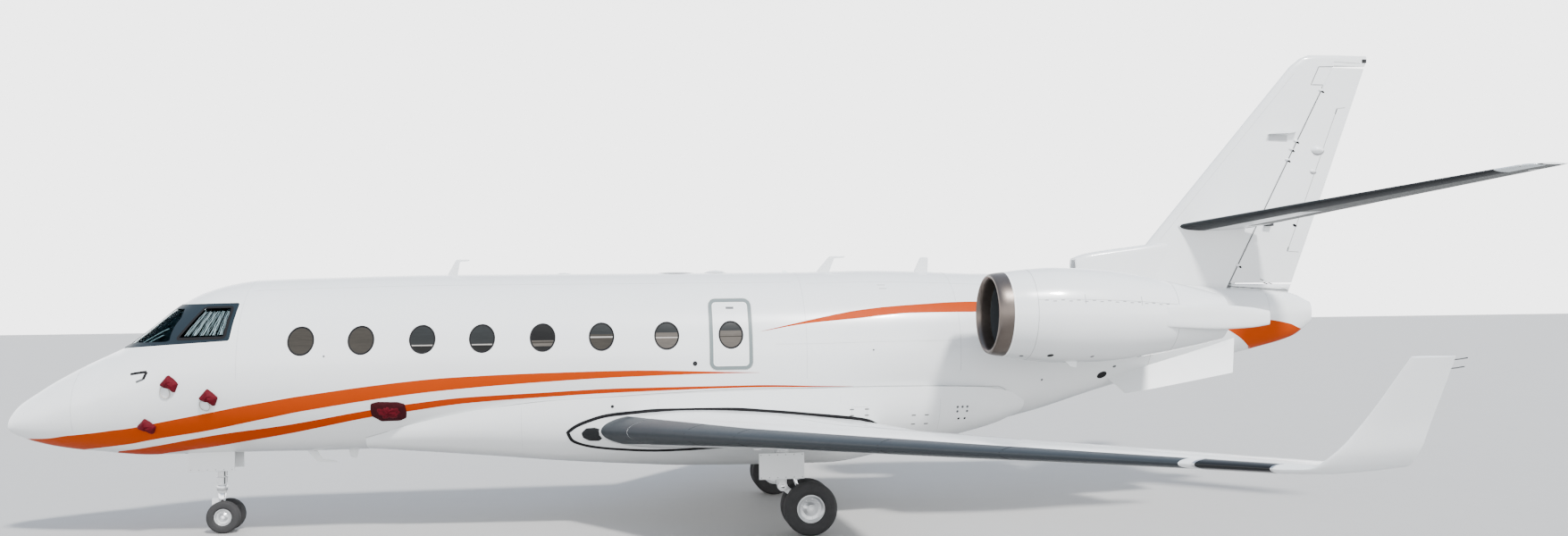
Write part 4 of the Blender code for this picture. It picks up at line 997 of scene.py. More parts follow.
def lathe(name, profile, place, finish=None, closed=False, segments=96, sharp=35):
    """Shape turned from (along, radius) points. Place puts along, across and up in the scene."""
    return loft(name, [[place(along, radius * math.cos(t), radius * math.sin(t)) for t in turns(segments)]
                       for along, radius in profile], finish, closed, sharp)


def engine_lathe(name, profile, side, finish=None, closed=False, segments=96):
    frame_of = engine_frame(side)
    return lathe(name, profile, lambda s, y, z: frame_of @ Vector((s, y, z)), finish, closed, segments)


def through(table, step):
    """Smooth profile through the rows of a table."""
    row = smooth(table)
    return [(s, row(s)[0]) for s in spaced(table[0][0], table[-1][0], step)]


def engine(name, side):
    place = engine_frame(side)
    profile = []
    for i in range(61):
        t = i / 60 * (len(LIP_SHAPE) - 1)
        k = min(int(t), len(LIP_SHAPE) - 2)
        p = [Vector(LIP_SHAPE[min(max(k + d, 0), len(LIP_SHAPE) - 1)]) for d in (-1, 0, 1, 2)]
        f = t - k
        profile.append(0.5 * (2 * p[1] + (p[2] - p[0]) * f + (2 * p[0] - 5 * p[1] + 4 * p[2] - p[3]) * f * f
                              + (3 * p[1] - p[0] - 3 * p[2] + p[3]) * f ** 3))
    lip = engine_lathe(name + "_intake_lip", profile, side, LIP, closed=True, segments=128)
    piece(lip, "root", "lip_metal", name + "_inlet_lip")

    outside = through(COWL_OUTSIDE, 0.06)
    inside = through(COWL_INSIDE, 0.12)
    cowl = engine_lathe(name + "_nacelle", outside + inside[::-1], side, WHITE, closed=True)
    cowl.data.materials.append(LINER)
    limit = smooth(COWL_INSIDE)
    for face in cowl.data.polygons:
        middle = place.inverted() @ face.center
        face.material_index = int(math.hypot(middle.y, middle.z) < limit(middle.x)[0] + 0.004)
    rings = []
    row = smooth(STANG)
    for s in spaced(14.35, 15.80, 0.08):
        inner, outer, half = row(s)
        ring = [(outer - 0.045 + 0.045 * bulge(math.cos(t), 0.55), half * bulge(math.sin(t), 0.7))
                for t in [math.pi * (i / 24 - 0.5) for i in range(25)]] + [(inner, half), (inner, -half)]
        rings.append([place @ Vector((s, side * out, z)) for out, z in ring])
    merge(cowl, loft("stang", rings, WHITE, sharp=50))
    piece(cowl, "root", "white_paint", name + "_cowl")

    fan = engine_lathe(name + "_fan_disc", through(FAN_DISC, 0.02), side, FAN_METAL)
    blades = []
    for root_turn in turns(20):
        rings = []
        for share in [k / 6 for k in range(7)]:
            radius = 0.125 + (0.458 - 0.125) * share
            chord = 0.10 + 0.02 * share
            stagger = math.radians(28 + 32 * share)
            ring = []
            for u, v in BLADE_SECTION:
                along, thick = u * chord, v * chord
                x = 12.965 + along * math.cos(stagger) * 0.9
                turn = root_turn + (along * math.sin(stagger) + thick * math.cos(stagger)) / radius
                ring.append(place @ Vector((x, radius * math.cos(turn), radius * math.sin(turn))))
            rings.append(ring)
        blades.append(loft("blade", rings, FAN_METAL, sharp=50))
    merge(fan, *blades)
    piece(fan, name + "_rotor", "engine_metal", name + "_fan")

    core = engine_lathe(name + "_core_body", through(CORE_SHAPE, 0.06), side, HOT_METAL)
    for turn in turns(24):
        rings = [[place @ Vector((x, r * math.cos(turn + d / r), r * math.sin(turn + d / r)))
                  for x, d in ((13.21, 0.0), (13.28, 0.007), (13.40, 0.0), (13.28, -0.005))] for r in (0.236, 0.4657)]
        merge(core, loft("vane", rings, ALLOY, sharp=50))
    piece(core, "root", "engine_metal", name + "_engine_core")

    pylon = foil(name + "_pylon_skin", PYLON, side, WHITE)
    source = source_of(pylon)
    cut(pylon, body_solid("body", 11.0, TAIL_END, PLAY),
        engine_lathe("cowl", [(s, r + PLAY) for s, r in outside], side))
    piece(smooth_like(pylon, source), "root", "white_paint", name + "_pylon")


# Landing gear

def wheel_lathe(name, profile, centre, finish, closed=True):
    return lathe(name, profile, lambda y, x, z: centre + Vector((x, y, z)), finish, closed, sharp=30)


def tyre(name, body, centre, radius, half, rim):
    """Tyre with round shoulders and four grooves."""
    side = radius - rim
    shape = smooth(((0.0, -0.62, 0.0), (0.16, -0.92, 0.16), (0.30, -1.0, 0.38), (0.42, -0.97, 0.66),
                    (0.54, -0.86, 0.86), (0.66, -0.62, 0.965), (0.80, -0.45, 1.0), (1.0, 0.0, 1.0)))
    profile = [(along * half, rim + out * side) for along, out in [shape(i / 24) for i in range(25)]]
    left = [p for p in profile if p[0] < -0.36 * half]
    tread = [((groove + offset) * half, radius - depth * side) for groove in (-0.30, -0.10, 0.10, 0.30)
             for offset, depth in ((-0.045, 0), (-0.035, 0.05), (0.035, 0.05), (0.045, 0))]
    made = wheel_lathe(name + "_rubber", left + tread + [(-a, r) for a, r in reversed(left)], centre, RUBBER)
    piece(made, body, "tyre_rubber", name)


def hubs(name, body, centre, out, half, rim, axle):
    """Rims, bolts and caps of the two wheels on an axle."""
    r = rim - PLAY
    flange = half * 0.62
    profile = [(-out + flange * along, radius) for along, radius in (
        (-1, rim * 0.30), (-0.8, rim * 0.36), (-0.35, rim * 0.55), (-0.42, rim * 0.78), (-0.9, r - 0.014),
        (-1, r - 0.010), (-1, r), (1, r), (0.4, rim * 0.55), (0.4, axle))]
    mirrored = [(-along, radius) for along, radius in reversed(profile)]
    made = wheel_lathe(name + "_rims", profile + mirrored, centre, ALLOY, closed=False)
    for turn in (-1, 1):
        across = Vector((0, turn, 0))
        for angle in turns(9):
            spot = centre + across * (out + flange * 0.36) + Vector((math.cos(angle), 0, math.sin(angle))) * rim * 0.66
            merge(made, rod("bolt", spot - across * 0.01, spot + across * 0.008, rim * 0.045, finish=CHROME,
                            segments=6))
        cap = centre + across * (out + flange * 0.5)
        merge(made, rod("cap", cap, cap + across * flange * 0.6, rim * 0.22, rim * 0.17, finish=GEAR))
    piece(made, body, "bare_metal", name)


def fasteners(target, spots, side, radius):
    for spot in spots:
        merge(target, disc("fastener", (spot, Vector((0, side, 0))), radius, GREY_LINE_AND_SHADOW, segments=12))


def nose_gear():
    radius, half, out = NOSE_TYRE
    rim = radius * RIM_SHARE
    axle = at(NOSE_GEAR + 0.05, 0, radius)

    def spot(along, y, z):
        return at(NOSE_GEAR + along, y, z)
    leg = rod("nose_leg_tube", spot(0, 0, 0.50), spot(0, 0, 1.3597), 0.055, finish=GEAR)
    merge(leg, rod("collar", spot(0, 0, 0.53), spot(0, 0, 0.60), 0.066, finish=ALLOY),
          rod("trunnion", spot(0, -0.185, 1.20), spot(0, 0.185, 1.20), 0.03, finish=GEAR),
          rod("brace", spot(0, 0, 0.74), spot(-0.33, 0, 1.30), 0.022, finish=GEAR),
          rod("lamp", spot(-0.088, 0, 0.86), spot(-0.02, 0, 0.86), 0.055, 0.04, finish=ALLOY),
          rod("lamp_lens", spot(-0.0899, 0, 0.86), spot(-0.086, 0, 0.86), 0.050, finish=LAMP))
    for sway in (-1, 1):
        path = [spot(0.042, sway * 0.045, z) for z in (1.30, 1.10, 0.95, 0.80, 0.68, 0.63)]
        merge(leg, tube("hose", path + [spot(0.030, sway * 0.030, 0.60)], 0.006, DARK))
    for z in (0.70, 0.97):
        merge(leg, rod("clip", spot(0, 0, z), spot(0, 0, z + 0.016), 0.068, finish=ALLOY))
    piece(leg, "root", "gear_metal", "nose_leg")
    fork = rod("nose_fork_tube", spot(0, 0, 0.33), spot(0, 0, 0.4997), 0.045, finish=CHROME)
    merge(fork, rod("piston", spot(0.006, 0, 0.40), axle + Vector((0.002, 0, -0.010)), 0.034, finish=GEAR),
          rod("bearing", axle - Vector((0, 0.045, 0)), axle + Vector((0, 0.045, 0)), 0.042, finish=GEAR),
          soft_block("link", (NOSE_GEAR - 0.12, -0.025, 0.34), (NOSE_GEAR - 0.02, 0.025, 0.44), GEAR, 0.008))
    piece(fork, "nose_steering", "gear_metal", "nose_fork")
    hubs("nose_hubs", "nose_wheels", axle, out, half, rim, 0.020)
    for name, side in SIDES:
        tyre("nose_tyre_" + name, "nose_wheels", axle + Vector((0, side * out, 0)), radius, half, rim)
        face = side * 0.209
        low, high = sorted((side * 0.197, face))
        door = soft_block("nose_bay_door_" + name, (2.20, low, 0.80), (2.76, high, 1.085), WHITE, 0.004)
        fasteners(door, [at(2.23 + 0.1 * i, face, 0.822) for i in range(6)], side, 0.006)
        piece(door, "root", "white_paint", "nose_door_" + name)


def main_gear(name, side):
    radius, half, out = MAIN_TYRE
    rim = radius * RIM_SHARE
    centre = side * MAIN_OUT
    axle = at(MAIN_GEAR, centre, radius)
    pivot = at(MAIN_STRUT, centre, 0.60)
    across = Vector((0, 1, 0))

    def bar(kind, start, end, size, second=None, finish=GEAR, segments=32):
        return rod(kind, start, end, size, second, finish, segments)
    leg = bar(name + "_main_leg_tube", at(MAIN_STRUT, centre, 1.1897), pivot, 0.075, 0.058)
    plate = side * (MAIN_OUT + 0.13)
    face = plate + side * 0.014
    low, high = sorted((centre, plate))
    low_d, high_d = sorted((plate, face))
    shock_low, shock_high = at(MAIN_GEAR - 0.10, centre, 0.46), at(MAIN_STRUT + 0.03, centre, 1.08)
    middle = shock_low.lerp(shock_high, 0.45)
    merge(leg, bar("pivot", pivot - across * 0.07, pivot + across * 0.07, 0.06),
          bar("pin", pivot - across * 0.078, pivot + across * 0.078, 0.022, finish=CHROME),
          bar("link", pivot + across * 0.002, axle + Vector((0.02, 0.002, -0.016)), 0.040, 0.034),
          bar("bearing", axle - across * 0.042, axle + across * 0.042, 0.055),
          bar("shock", middle, shock_high, 0.034), bar("shock_rod", shock_low, middle, 0.022, finish=CHROME),
          bar("gland", middle - (shock_high - shock_low).normalized() * 0.02, middle, 0.038, finish=ALLOY),
          soft_block("bracket", (MAIN_STRUT - 0.02, low, 0.84), (MAIN_STRUT + 0.02, high, 0.88), GEAR, 0.005),
          soft_block("door", (MAIN_STRUT - 0.30, low_d, 0.70), (MAIN_STRUT + 0.26, high_d, 1.02), WHITE, 0.005))
    hose = ((9.505, 1.185), (9.517, 1.12), (9.522, 1.00), (9.527, 0.85), (9.534, 0.68), (9.531, 0.62),
            (9.536, 0.575), (9.560, 0.545), (9.605, 0.525), (9.656, 0.490), (9.743, 0.418), (9.832, 0.352),
            (9.876, 0.330))
    for sway, finish, path in ((0.014, DARK, hose), (-0.014, ALLOY, hose[:6])):
        merge(leg, tube("hose", [at(s, centre + sway, z) for s, z in path], 0.007, finish))
    for z, around in ((1.00, 0.075), (0.76, 0.069)):
        merge(leg, bar("clip", at(MAIN_STRUT, centre, z), at(MAIN_STRUT, centre, z + 0.018), around, finish=ALLOY))
    for start, end, end_z in ((1.02, -0.22, 0.96), (0.80, 0.18, 0.76)):
        merge(leg, bar("arm", at(MAIN_STRUT, centre, start), at(MAIN_STRUT + end, plate, end_z), 0.011,
                       segments=16))
    fasteners(leg, [at(MAIN_STRUT - 0.275 + 0.102 * i, face, z) for i in range(6) for z in (0.722, 0.998)], side,
              0.007)
    piece(leg, "root", "gear_metal", name + "_main_leg")
    hubs(name + "_main_hubs", name + "_wheels", axle, out, half, rim, 0.030)
    for place, turn in (("inner", -1), ("outer", 1)):
        tyre(name + "_main_tyre_" + place, name + "_wheels", axle + Vector((0, side * turn * out, 0)), radius, half,
             rim)


# Things laid on the skin

def skin_spot(station, angle, side):
    """Point and normal on the body at a station and angle."""
    along = skin(station + 0.004, angle, side) - skin(station - 0.004, angle, side)
    around = skin(station, angle + 0.4, side) - skin(station, angle - 0.4, side)
    return skin(station, angle, side), (along.cross(around) * side).normalized()


def drape(name, rows, side, finish, cells, proud, under):
    """Thin closed sheet on the body between two angles at each station."""
    rings = []
    for station, low, high in rows:
        angles = [low + (high - low) * i / cells for i in range(cells + 1)]
        rings.append([skin(station, a, side, proud) for a in angles]
                     + [skin(station, a, side, -under) for a in reversed(angles)])
    return loft(name, rings, finish)


def ribbon(name, found, width, finish, closed=False, proud=0.0009, under=0.0010):
    """Flat line of an even width along points with surface normals."""
    points = [point for point, _ in found]
    rings = []
    for i, (point, normal) in enumerate(found):
        along = points[(i + 1) % len(points)] - points[i - 1] if closed else run(points, i)
        across = normal.cross(along).normalized() * width / 2
        rings.append([point + across + normal * proud, point - across + normal * proud,
                      point - across - normal * under, point + across - normal * under])
    return loft(name, rings, finish, closed=closed, sharp=60)


def body_line(name, path, side, width, finish, proud=0.0009):
    """Line on the body through (station, angle) points."""
    found = [skin_spot(s, a, side) for s, a in dense(path, 0.05, False, DEGREE)]
    return ribbon(name, found, width, finish, proud=proud)


def onto(source, point, direction):
    """Where a ray meets a smooth shape: the place and its normal."""
    tree, points, normals, triangles = source
    place, _, index, _ = tree.ray_cast(point, direction)
    if place is None:
        place, _, index, _ = tree.find_nearest(point)
    total = Vector((0, 0, 0))
    for corner in triangles[index]:
        total += normals[corner] / max((points[corner] - place).length, 1e-6)
    return place, total.normalized()


def side_spot(source, station, height, side):
    """Where a side view point falls on a shape."""
    return onto(source, at(station, side * 5, height), Vector((0, -side, 0)))


def top_spot(source, station):
    return onto(source, at(station, 0.0001, 6), Vector((0, 0, -1)))


def side_line(name, source, outline, side, width, finish, closed=True, proud=0.0009, step=0.05):
    """Line where a side view outline falls on a shape."""
    found = [side_spot(source, s, z, side) for s, z in dense(outline, step, closed)]
    return ribbon(name, found, width, finish, closed, proud)


def disc(name, spot, radius, finish, proud=0.001, stretch=1.0, turn=0.0, dome=0.0, segments=28):
    """Flat or domed round plate at a point and normal of a surface."""
    place, normal = spot
    flat = Vector((1, 0, 0)) - normal * normal.x
    if flat.length < 0.2:
        flat = Vector((0, 0, 1)) - normal * normal.z
    flat.normalize()
    other = normal.cross(flat)
    one = (flat * math.cos(turn) + other * math.sin(turn)) * stretch
    two = other * math.cos(turn) - flat * math.sin(turn)
    rings = [circle(place + normal * height, one, two, radius * share, turns(segments))
             for share, height in ((1.0, -0.002), (1.0, proud * 0.6), (0.93, proud), (0.6, proud + dome * 0.65),
                                   (0.05, proud + dome))]
    return loft(name, rings, finish, sharp=50)


STRIPE_TOP = smooth((
    (0.20, 6), (0.30, 29), (0.366, 38.6), (0.60, 47.5), (0.881, 54.1), (1.764, 58.7), (2.624, 62.9), (3.381, 68.6),
    (3.743, 71.4), (4.874, 77.6), (5.591, 80.2), (6.600, 81.8), (7.696, 82.4), (8.871, 80.6), (9.400, 79.6),
))
STRIPE_LOW = smooth((
    (0.20, 0), (0.86, 0), (0.99, 19), (1.10, 26), (1.326, 33.2), (1.921, 43.3), (2.574, 48.0), (3.353, 56.6),
    (3.723, 60.7), (4.865, 68.9), (5.586, 72.5), (6.598, 76.0), (7.695, 78.4), (8.871, 79.5), (9.400, 79.5),
))
SECOND_TOP = smooth((
    (1.28, 0), (1.34, 12), (1.410, 21.9), (1.790, 32.0), (2.551, 42.0), (3.327, 48.3), (4.564, 60.0), (4.996, 63.0),
    (5.721, 66.9), (6.595, 68.9), (7.695, 70.9), (9.311, 71.1), (10.638, 68.3),
))
SECOND_LOW = smooth((
    (1.28, 0), (1.72, 0), (1.85, 10), (2.012, 18.0), (2.585, 28.0), (3.291, 38.6), (4.553, 54.5), (4.987, 57.7),
    (5.717, 62.8), (6.593, 65.8), (7.694, 68.2), (9.312, 69.7), (10.638, 68.2),
))
REAR_TOP = smooth((
    (9.421, 106.7), (9.774, 110.8), (10.253, 116.2), (10.751, 120.6), (11.504, 124.4), (12.394, 127.4),
    (13.2, 127.5), (14.2, 123), (15.2, 112), (16.0, 99), (16.93, 81.4), (17.30, 66), (17.50, 40), (17.60, 1),
))
REAR_LOW = smooth((
    (9.421, 106.6), (10.069, 112.1), (10.247, 112.9), (10.738, 114.5), (11.486, 117.8), (12.364, 118.3),
    (13.2, 116.5), (14.2, 110), (15.2, 97), (16.07, 81.7), (16.40, 62), (16.62, 36), (16.76, 0), (17.60, 0),
))


def stripe_rows(start, end, low, high, step=0.04):
    """Rows of a stripe, closer together near the nose."""
    fine = spaced(start, 2.0, step / 2)[:-1] if start < 2 else []
    return [(s, low(s)[0], max(high(s)[0], low(s)[0] + 0.1)) for s in fine + spaced(max(start, 2.0), end, step)]


def stripes():
    ranges = ((0.205, 9.40, STRIPE_LOW, STRIPE_TOP, ORANGE, "upper_stripe"),
              (1.285, 10.63, SECOND_LOW, SECOND_TOP, RED_ORANGE, "lower_stripe"),
              (9.425, 17.595, REAR_LOW, REAR_TOP, ORANGE, "rear_stripe"))
    for side_name, side in SIDES:
        for start, end, low, high, finish, kind in ranges:
            name = side_name + "_" + kind
            sheet = drape(name, stripe_rows(start, end, low, high), side, finish, 20, 0.0018, 0.003)
            for edge, turn, least in ((low, -1, 44), (high, 1, 34)):
                path = [(s, edge(s)[0] + turn * 0.35) for s in spaced(start, end, 0.05)
                        if edge(s)[0] > least and high(s)[0] - low(s)[0] > 0.8]
                merge(sheet, body_line("edge", path, side, 0.007, EDGE_LIGHT, 0.0022))
            if side > 0 and kind != "rear_stripe":
                on_door = placed("door_" + name, sheet.data.copy())
                keep(on_door, door_prism(DOOR_GAP))
                piece(on_door, "door", "white_paint")
                cut(sheet, door_prism(0.0))
            piece(sheet, "root", "white_paint")


def oval_rings(station, side, less, shares, insets):
    """Rings of a window: shares of its size, a little less than the cut, and distances under the skin."""
    rings = []
    for share, inset in zip(shares, insets):
        places = [(station + (WINDOW_WIDE - less) / 2 * math.cos(t) * share,
                   WINDOW_HEIGHT + (WINDOW_TALL - less) / 2 * math.sin(t) * share) for t in turns(56)]
        rings.append([at(s, side * (skin_out(s, z) - inset), z) for s, z in places])
    return rings


# Bands of painted reflection on each window, from the bottom of the pane (-1) to its top (1).
WARM_REFLECTION = ((-1, 1, PANE_WARM_REFLECTION),)
COOL_REFLECTION = ((-1, -0.50, PANE_DARK_REFLECTION), (-0.50, -0.42, PANE_HEM_AND_REFLECTION), (-0.42, 1, PANE_COOL_REFLECTION))
WINDOW_REFLECTIONS = (WARM_REFLECTION, WARM_REFLECTION, COOL_REFLECTION, COOL_REFLECTION,
                ((-1, -0.66, PANE_DARK_REFLECTION), (-0.66, -0.44, PANE_PALE_REFLECTION), (-0.44, -0.30, PANE_WARM_REFLECTION),
                 (-0.30, -0.22, PANE_PALE_REFLECTION), (-0.22, 1, PANE_DARK_REFLECTION)),
                ((-1, -0.08, PANE_WARM_REFLECTION), (-0.08, 0.02, PANE_HEM_AND_REFLECTION), (0.02, 0.20, PANE_WARM_REFLECTION), (0.20, 1, PANE_COOL_REFLECTION)),
                ((-1, -0.18, PANE_PALE_REFLECTION), (-0.18, -0.10, PANE_HEM_AND_REFLECTION), (-0.10, 0.25, PANE_PALE_REFLECTION), (0.25, 1, PANE_COOL_REFLECTION)),
                ((-1, -0.16, PANE_PALE_REFLECTION), (-0.16, -0.08, PANE_WARM_REFLECTION), (-0.08, 0.34, PANE_PALE_REFLECTION), (0.34, 1, PANE_COOL_REFLECTION)))


def reflection_band(station, side, low, high, finish):
    """Band of painted reflection laid on an oval pane, between two shares of its height."""
    rings = []
    # Each band is a thin sheet of painted reflection just outside the glass.
    for share in spaced(low, high, 0.08):
        z = WINDOW_HEIGHT + share * WINDOW_TALL / 2 * PANE_CLEAR
        half = WINDOW_WIDE / 2 * PANE_CLEAR * math.sqrt(max(0.01, 1 - share * share))
        front = [at(station + half * u, side * (skin_out(station + half * u, z) - 0.0092), z)
                 for u in (-1, -0.6, -0.2, 0.2, 0.6, 1)]
        rings.append(front + [p - Vector((0, side * 0.0006, 0)) for p in reversed(front)])
    return loft("tint", rings, finish, sharp=60)


def shade_rings(station, side, fold):
    """Pleats of a window shade that is drawn down to a share of the window."""
    rings = []
    wide = WINDOW_WIDE / 2 + 0.012
    for k in range(33):
        height = WINDOW_HEIGHT + WINDOW_TALL / 2 + 0.02 - (WINDOW_TALL + 0.02) * fold * k / 32
        inset = 0.060 + 0.006 * (k % 2)
        rings.append([at(station + u * wide, side * (skin_out(station, height) - inset - d), height)
                      for u, d in ((-1, 0), (-0.5, 0), (0, 0), (0.5, 0), (1, 0), (1, 0.0015), (0, 0.0015),
                                   (-1, 0.0015))])
    return rings


def windows():
    """Panes with bands of painted reflection on them, gaskets and pleated shades."""
    for name, side in SIDES:
        panes, gaskets, shades = [], [], []
        for number, station in enumerate(WINDOW_STATIONS):
            if side > 0 and number == 0:
                continue
            panes.append(loft("pane", oval_rings(station, side, 0, (0.01, 0.3, 0.6, 0.85, 0.965, 0.965, 0.6, 0.01),
                                                 (0.010, 0.010, 0.0105, 0.011, 0.012, 0.018, 0.017, 0.016)), TINTED))
            # Lay the bands of painted reflection on the pane.
            for low, high, finish in WINDOW_REFLECTIONS[number]:
                panes.append(reflection_band(station, side, low, high, finish))
            for kind, finish, less, shares, insets in (
                    ("gasket", BLACK_SEAL_AND_SHADOW, 0.001, (0.995, 0.985, 0.955, 0.875, 0.87, 0.96, 0.995),
                     (0.006, 0.0035, 0.004, 0.009, 0.015, 0.022, 0.022)),
                    ("reveal", LINING, 0, (0.975, 0.93, 1.02, 1.06), (0.020, 0.068, 0.075, 0.071))):
                gaskets.append(loft(kind, oval_rings(station, side, less, shares, insets), finish, True, 50))
            fold = 0.40 if number in (1, 2) else (0.52 if number > 3 else 0.28)
            shades.append(loft("shade", shade_rings(station, side, fold), SHADE, sharp=20))
        group(name + "_cabin_panes", panes, "root", "window_pane", name + "_windows")
        group(name + "_window_seals", gaskets, "root", "dark_trim")
        group(name + "_window_shades", shades, "root", "seat_leather")


def exit_outline(by):
    """The exit's outline at an inset, with the same count and even turning at each inset."""
    s0, s1, z0, z1 = [v + turn * by for v, turn in zip(EXIT_AT, (1, -1, 1, -1))]
    radius = max(0.10 - by, 0.02)
    outline = []
    centres = ((s1 - radius, z1 - radius), (s0 + radius, z1 - radius), (s0 + radius, z0 + radius),
               (s1 - radius, z0 + radius))
    for corner, (s, z) in enumerate(centres):
        arc = [math.radians(90 * corner + 90 * i / 8) for i in range(9)]
        outline += [(s + radius * math.cos(t), z + radius * math.sin(t)) for t in arc]
        ahead = centres[(corner + 1) % 4]
        reach = radius * math.cos(arc[-1]), radius * math.sin(arc[-1])
        first, last = (s + reach[0], z + reach[1]), (ahead[0] + reach[0], ahead[1] + reach[1])
        outline += [between(first, last, k / 16) for k in range(1, 16)]
    return outline


def exit_and_door_marks(cabin):
    """Grey band with pale edges round the overwing exit, and the handles of the exit and the door."""
    band = []
    for low, high, finish, proud in ((-0.004, 0.004, EDGE_LIGHT, 0.0008), (0.004, 0.052, BAND_GREY, 0.0010),
                                     (0.052, 0.060, EDGE_LIGHT, 0.0008)):
        outer, inner = [[side_spot(cabin, s, z, -1) for s, z in exit_outline(by)] for by in (low, high)]
        band.append(loft("exit_band", [[a + n * proud, b + m * proud, b - m * 0.001, a - n * 0.001]
                                       for (a, n), (b, m) in zip(outer, inner)], finish, closed=True, sharp=60))
    band.append(side_line("exit_gap", cabin, rounded(*EXIT_AT, 0.10), -1, 0.004, SEAM, proud=0.0013, step=0.03))
    group("exit_band", band, "root", "white_paint")
    piece(side_line("exit_handle", cabin, [(8.99, 2.805), (9.09, 2.805)], -1, 0.035, SEAM, False, 0.0012),
          "root", "grey_metal")
    handle = side_line("door_handle_plate", cabin, [(3.20, 2.12), (3.34, 2.12)], 1, 0.05, ALLOY, False, 0.002)
    out = skin_out(3.27, 2.12)
    merge(handle, soft_block("lever", (3.205, out - 0.01, 2.112), (3.335, out + 0.008, 2.128), GEAR, 0.004))
    piece(handle, "door", "grey_metal")


def side_sunshade(name, side):
    """Dark sheet behind a side pane, painted shade for the dim flight deck, with silver pleats in front of it."""
    a, b, c, d = (Vector(p) for p in SIDE_PANE)

    def hung(u, v, depth):
        """Point behind the side pane, at shares of its width and height and a depth under the skin."""
        s, z = a.lerp(b, u).lerp(d.lerp(c, u), v)
        return at(s, side * (skin_out(s, z) - depth), z)
    rings = []
    for u in [0.01 + 0.98 * i / 12 for i in range(13)]:
        front, back = [[hung(u, 0.02 + 0.96 * k / 8, depth) for k in range(9)] for depth in (0.062, 0.064)]
        rings.append(front + back[::-1])
    # The dark sheet is painted shade, and the silver pleats lie in front of it.
    shade = loft(name + "_side_sunshade", rings, PAINTED_SHADE_BACKING, sharp=70)
    for i in range(17):
        u = 0.095 + 0.82 * i / 16 + 0.008 * math.sin(i * 2.3)
        wide = 0.012 + 0.007 * math.sin(i * 1.7 + 0.6)
        top = 0.90 - 0.05 * abs(math.sin(i * 1.1))
        rings = []
        for k in range(13):
            v = 0.09 + (top - 0.09) * k / 12
            sway = 0.006 * math.sin(k * 1.3 + i * 2.1)
            rings.append([hung(u + sway + x * wide, v, 0.045 - lift + 0.004 * math.sin(k * 0.9 + i))
                          for x, lift in ((-1, -0.012), (-0.45, 0.0), (0.0, 0.004), (0.45, 0.0), (1, -0.012),
                                          (0.0, -0.004))])
        merge(shade, loft("pleat", rings, SILVER, sharp=70))
    return shade


def front_shades(nose, side):
    """Dark screen behind a front pane, painted shade for the dim flight deck, with green folds, and the centre post
    once.
    """
    def behind(out, height, depth):
        place, normal = onto(nose, at(0.6, side * out, height), Vector((1, 0, 0)))
        return place - normal * depth
    rings = []
    for k in range(15):
        height = 2.41 + 0.50 * k / 14
        reach = 0.80 - 0.28 * k / 14
        front, back = [[behind(reach * i / 8, height, depth) for i in range(9)] for depth in (0.066, 0.068)]
        rings.append(front + back[::-1])
    # The dark screen is painted shade for the flight deck behind the front pane.
    parts = [loft("screen", rings, PAINTED_SHADE_BACKING, sharp=60)]
    for inner, outer, low, high, wide in ((0.42, 0.60, 2.46, 2.66, 0.010), (0.54, 0.64, 2.46, 2.58, 0.013)):
        rings = []
        for v in [k / 8 for k in range(9)]:
            out, height = inner + (outer - inner) * v, low + (high - low) * v
            rings.append([behind(out + x, height, 0.056 - lift)
                          for x, lift in ((-wide, 0.0), (0, 0.008), (wide, 0.0), (0, -0.002))])
        parts.append(loft("fold", rings, SHADE_GREEN, sharp=60))
    if side < 0:
        found = [onto(nose, at(0.6, 0.0001, 2.385 + 0.545 * k / 24), Vector((1, 0, 0))) for k in range(25)]
        parts.append(ribbon("post", found, 0.14, SLATE, proud=0.006, under=0.085))
    return parts


def glazing_details(nose):
    """Pale outline of the glazing, gaskets round the panes, and the sunshades and sheets of painted shade behind them.
    """
    for name, side in SIDES:
        ends = (1.43, 2.378), (2.13, 2.931)
        corners = soften([ends[0], (2.93, 2.470), (2.98, 2.945), ends[1]], 0.04)
        edge = [ends[0], *[p for p in corners if p[0] > 2.5], ends[1]]
        line = side_line(name + "_glazing_edge", nose, edge, side, 0.014, EDGE_LIGHT, False, 0.0012)
        merge(line, side_line("gasket", nose, soften(SIDE_PANE, 0.04), side, 0.034, BLACK_SEAL_AND_SHADOW, proud=0.0012))
        piece(line, "root", "dark_frame")
        piece(side_sunshade(name, side), "root", "grey_metal")
        group(name + "_front_shade_folds", front_shades(nose, side), "root", "grey_metal")


def pillow(name, source, centre, outline, side, height, finish, wrinkle=0.1):
    """Stuffed cover lying on a surface, with its outline in the plane of the surface there.

    Returns it with the place, its normal and the directions aft and up along the surface."""
    place, normal = side_spot(source, *centre, side)
    flat = (Vector((1, 0, 0)) - normal * normal.x).normalized()
    upward = normal.cross(flat)
    if upward.z < 0:
        upward = -upward
    outline = dense(soften(outline, 0.018, 3), 0.012)
    rings = []
    for row, share in enumerate((1.0, 1.0, 0.985, 0.94, 0.86, 0.74, 0.6, 0.45, 0.3, 0.15, 0.02)):
        ring = []
        for x, z in outline:
            foot, own, _, _ = source[0].find_nearest(place + flat * x * share + upward * z * share)
            angle = math.atan2(z, x)
            ripple = math.sin(angle * 5 + share * 7) + 0.6 * math.sin(angle * 11 - share * 13)
            lift = height * math.sqrt(max(0.0, 1 - share ** 2.6)) * (1 + wrinkle * ripple)
            if row < 2:
                lift = (-0.002, height * 0.12)[row]
            ring.append(foot + own * lift)
        rings.append(ring)
    return loft(name, rings, finish, sharp=60), place, normal, flat, upward


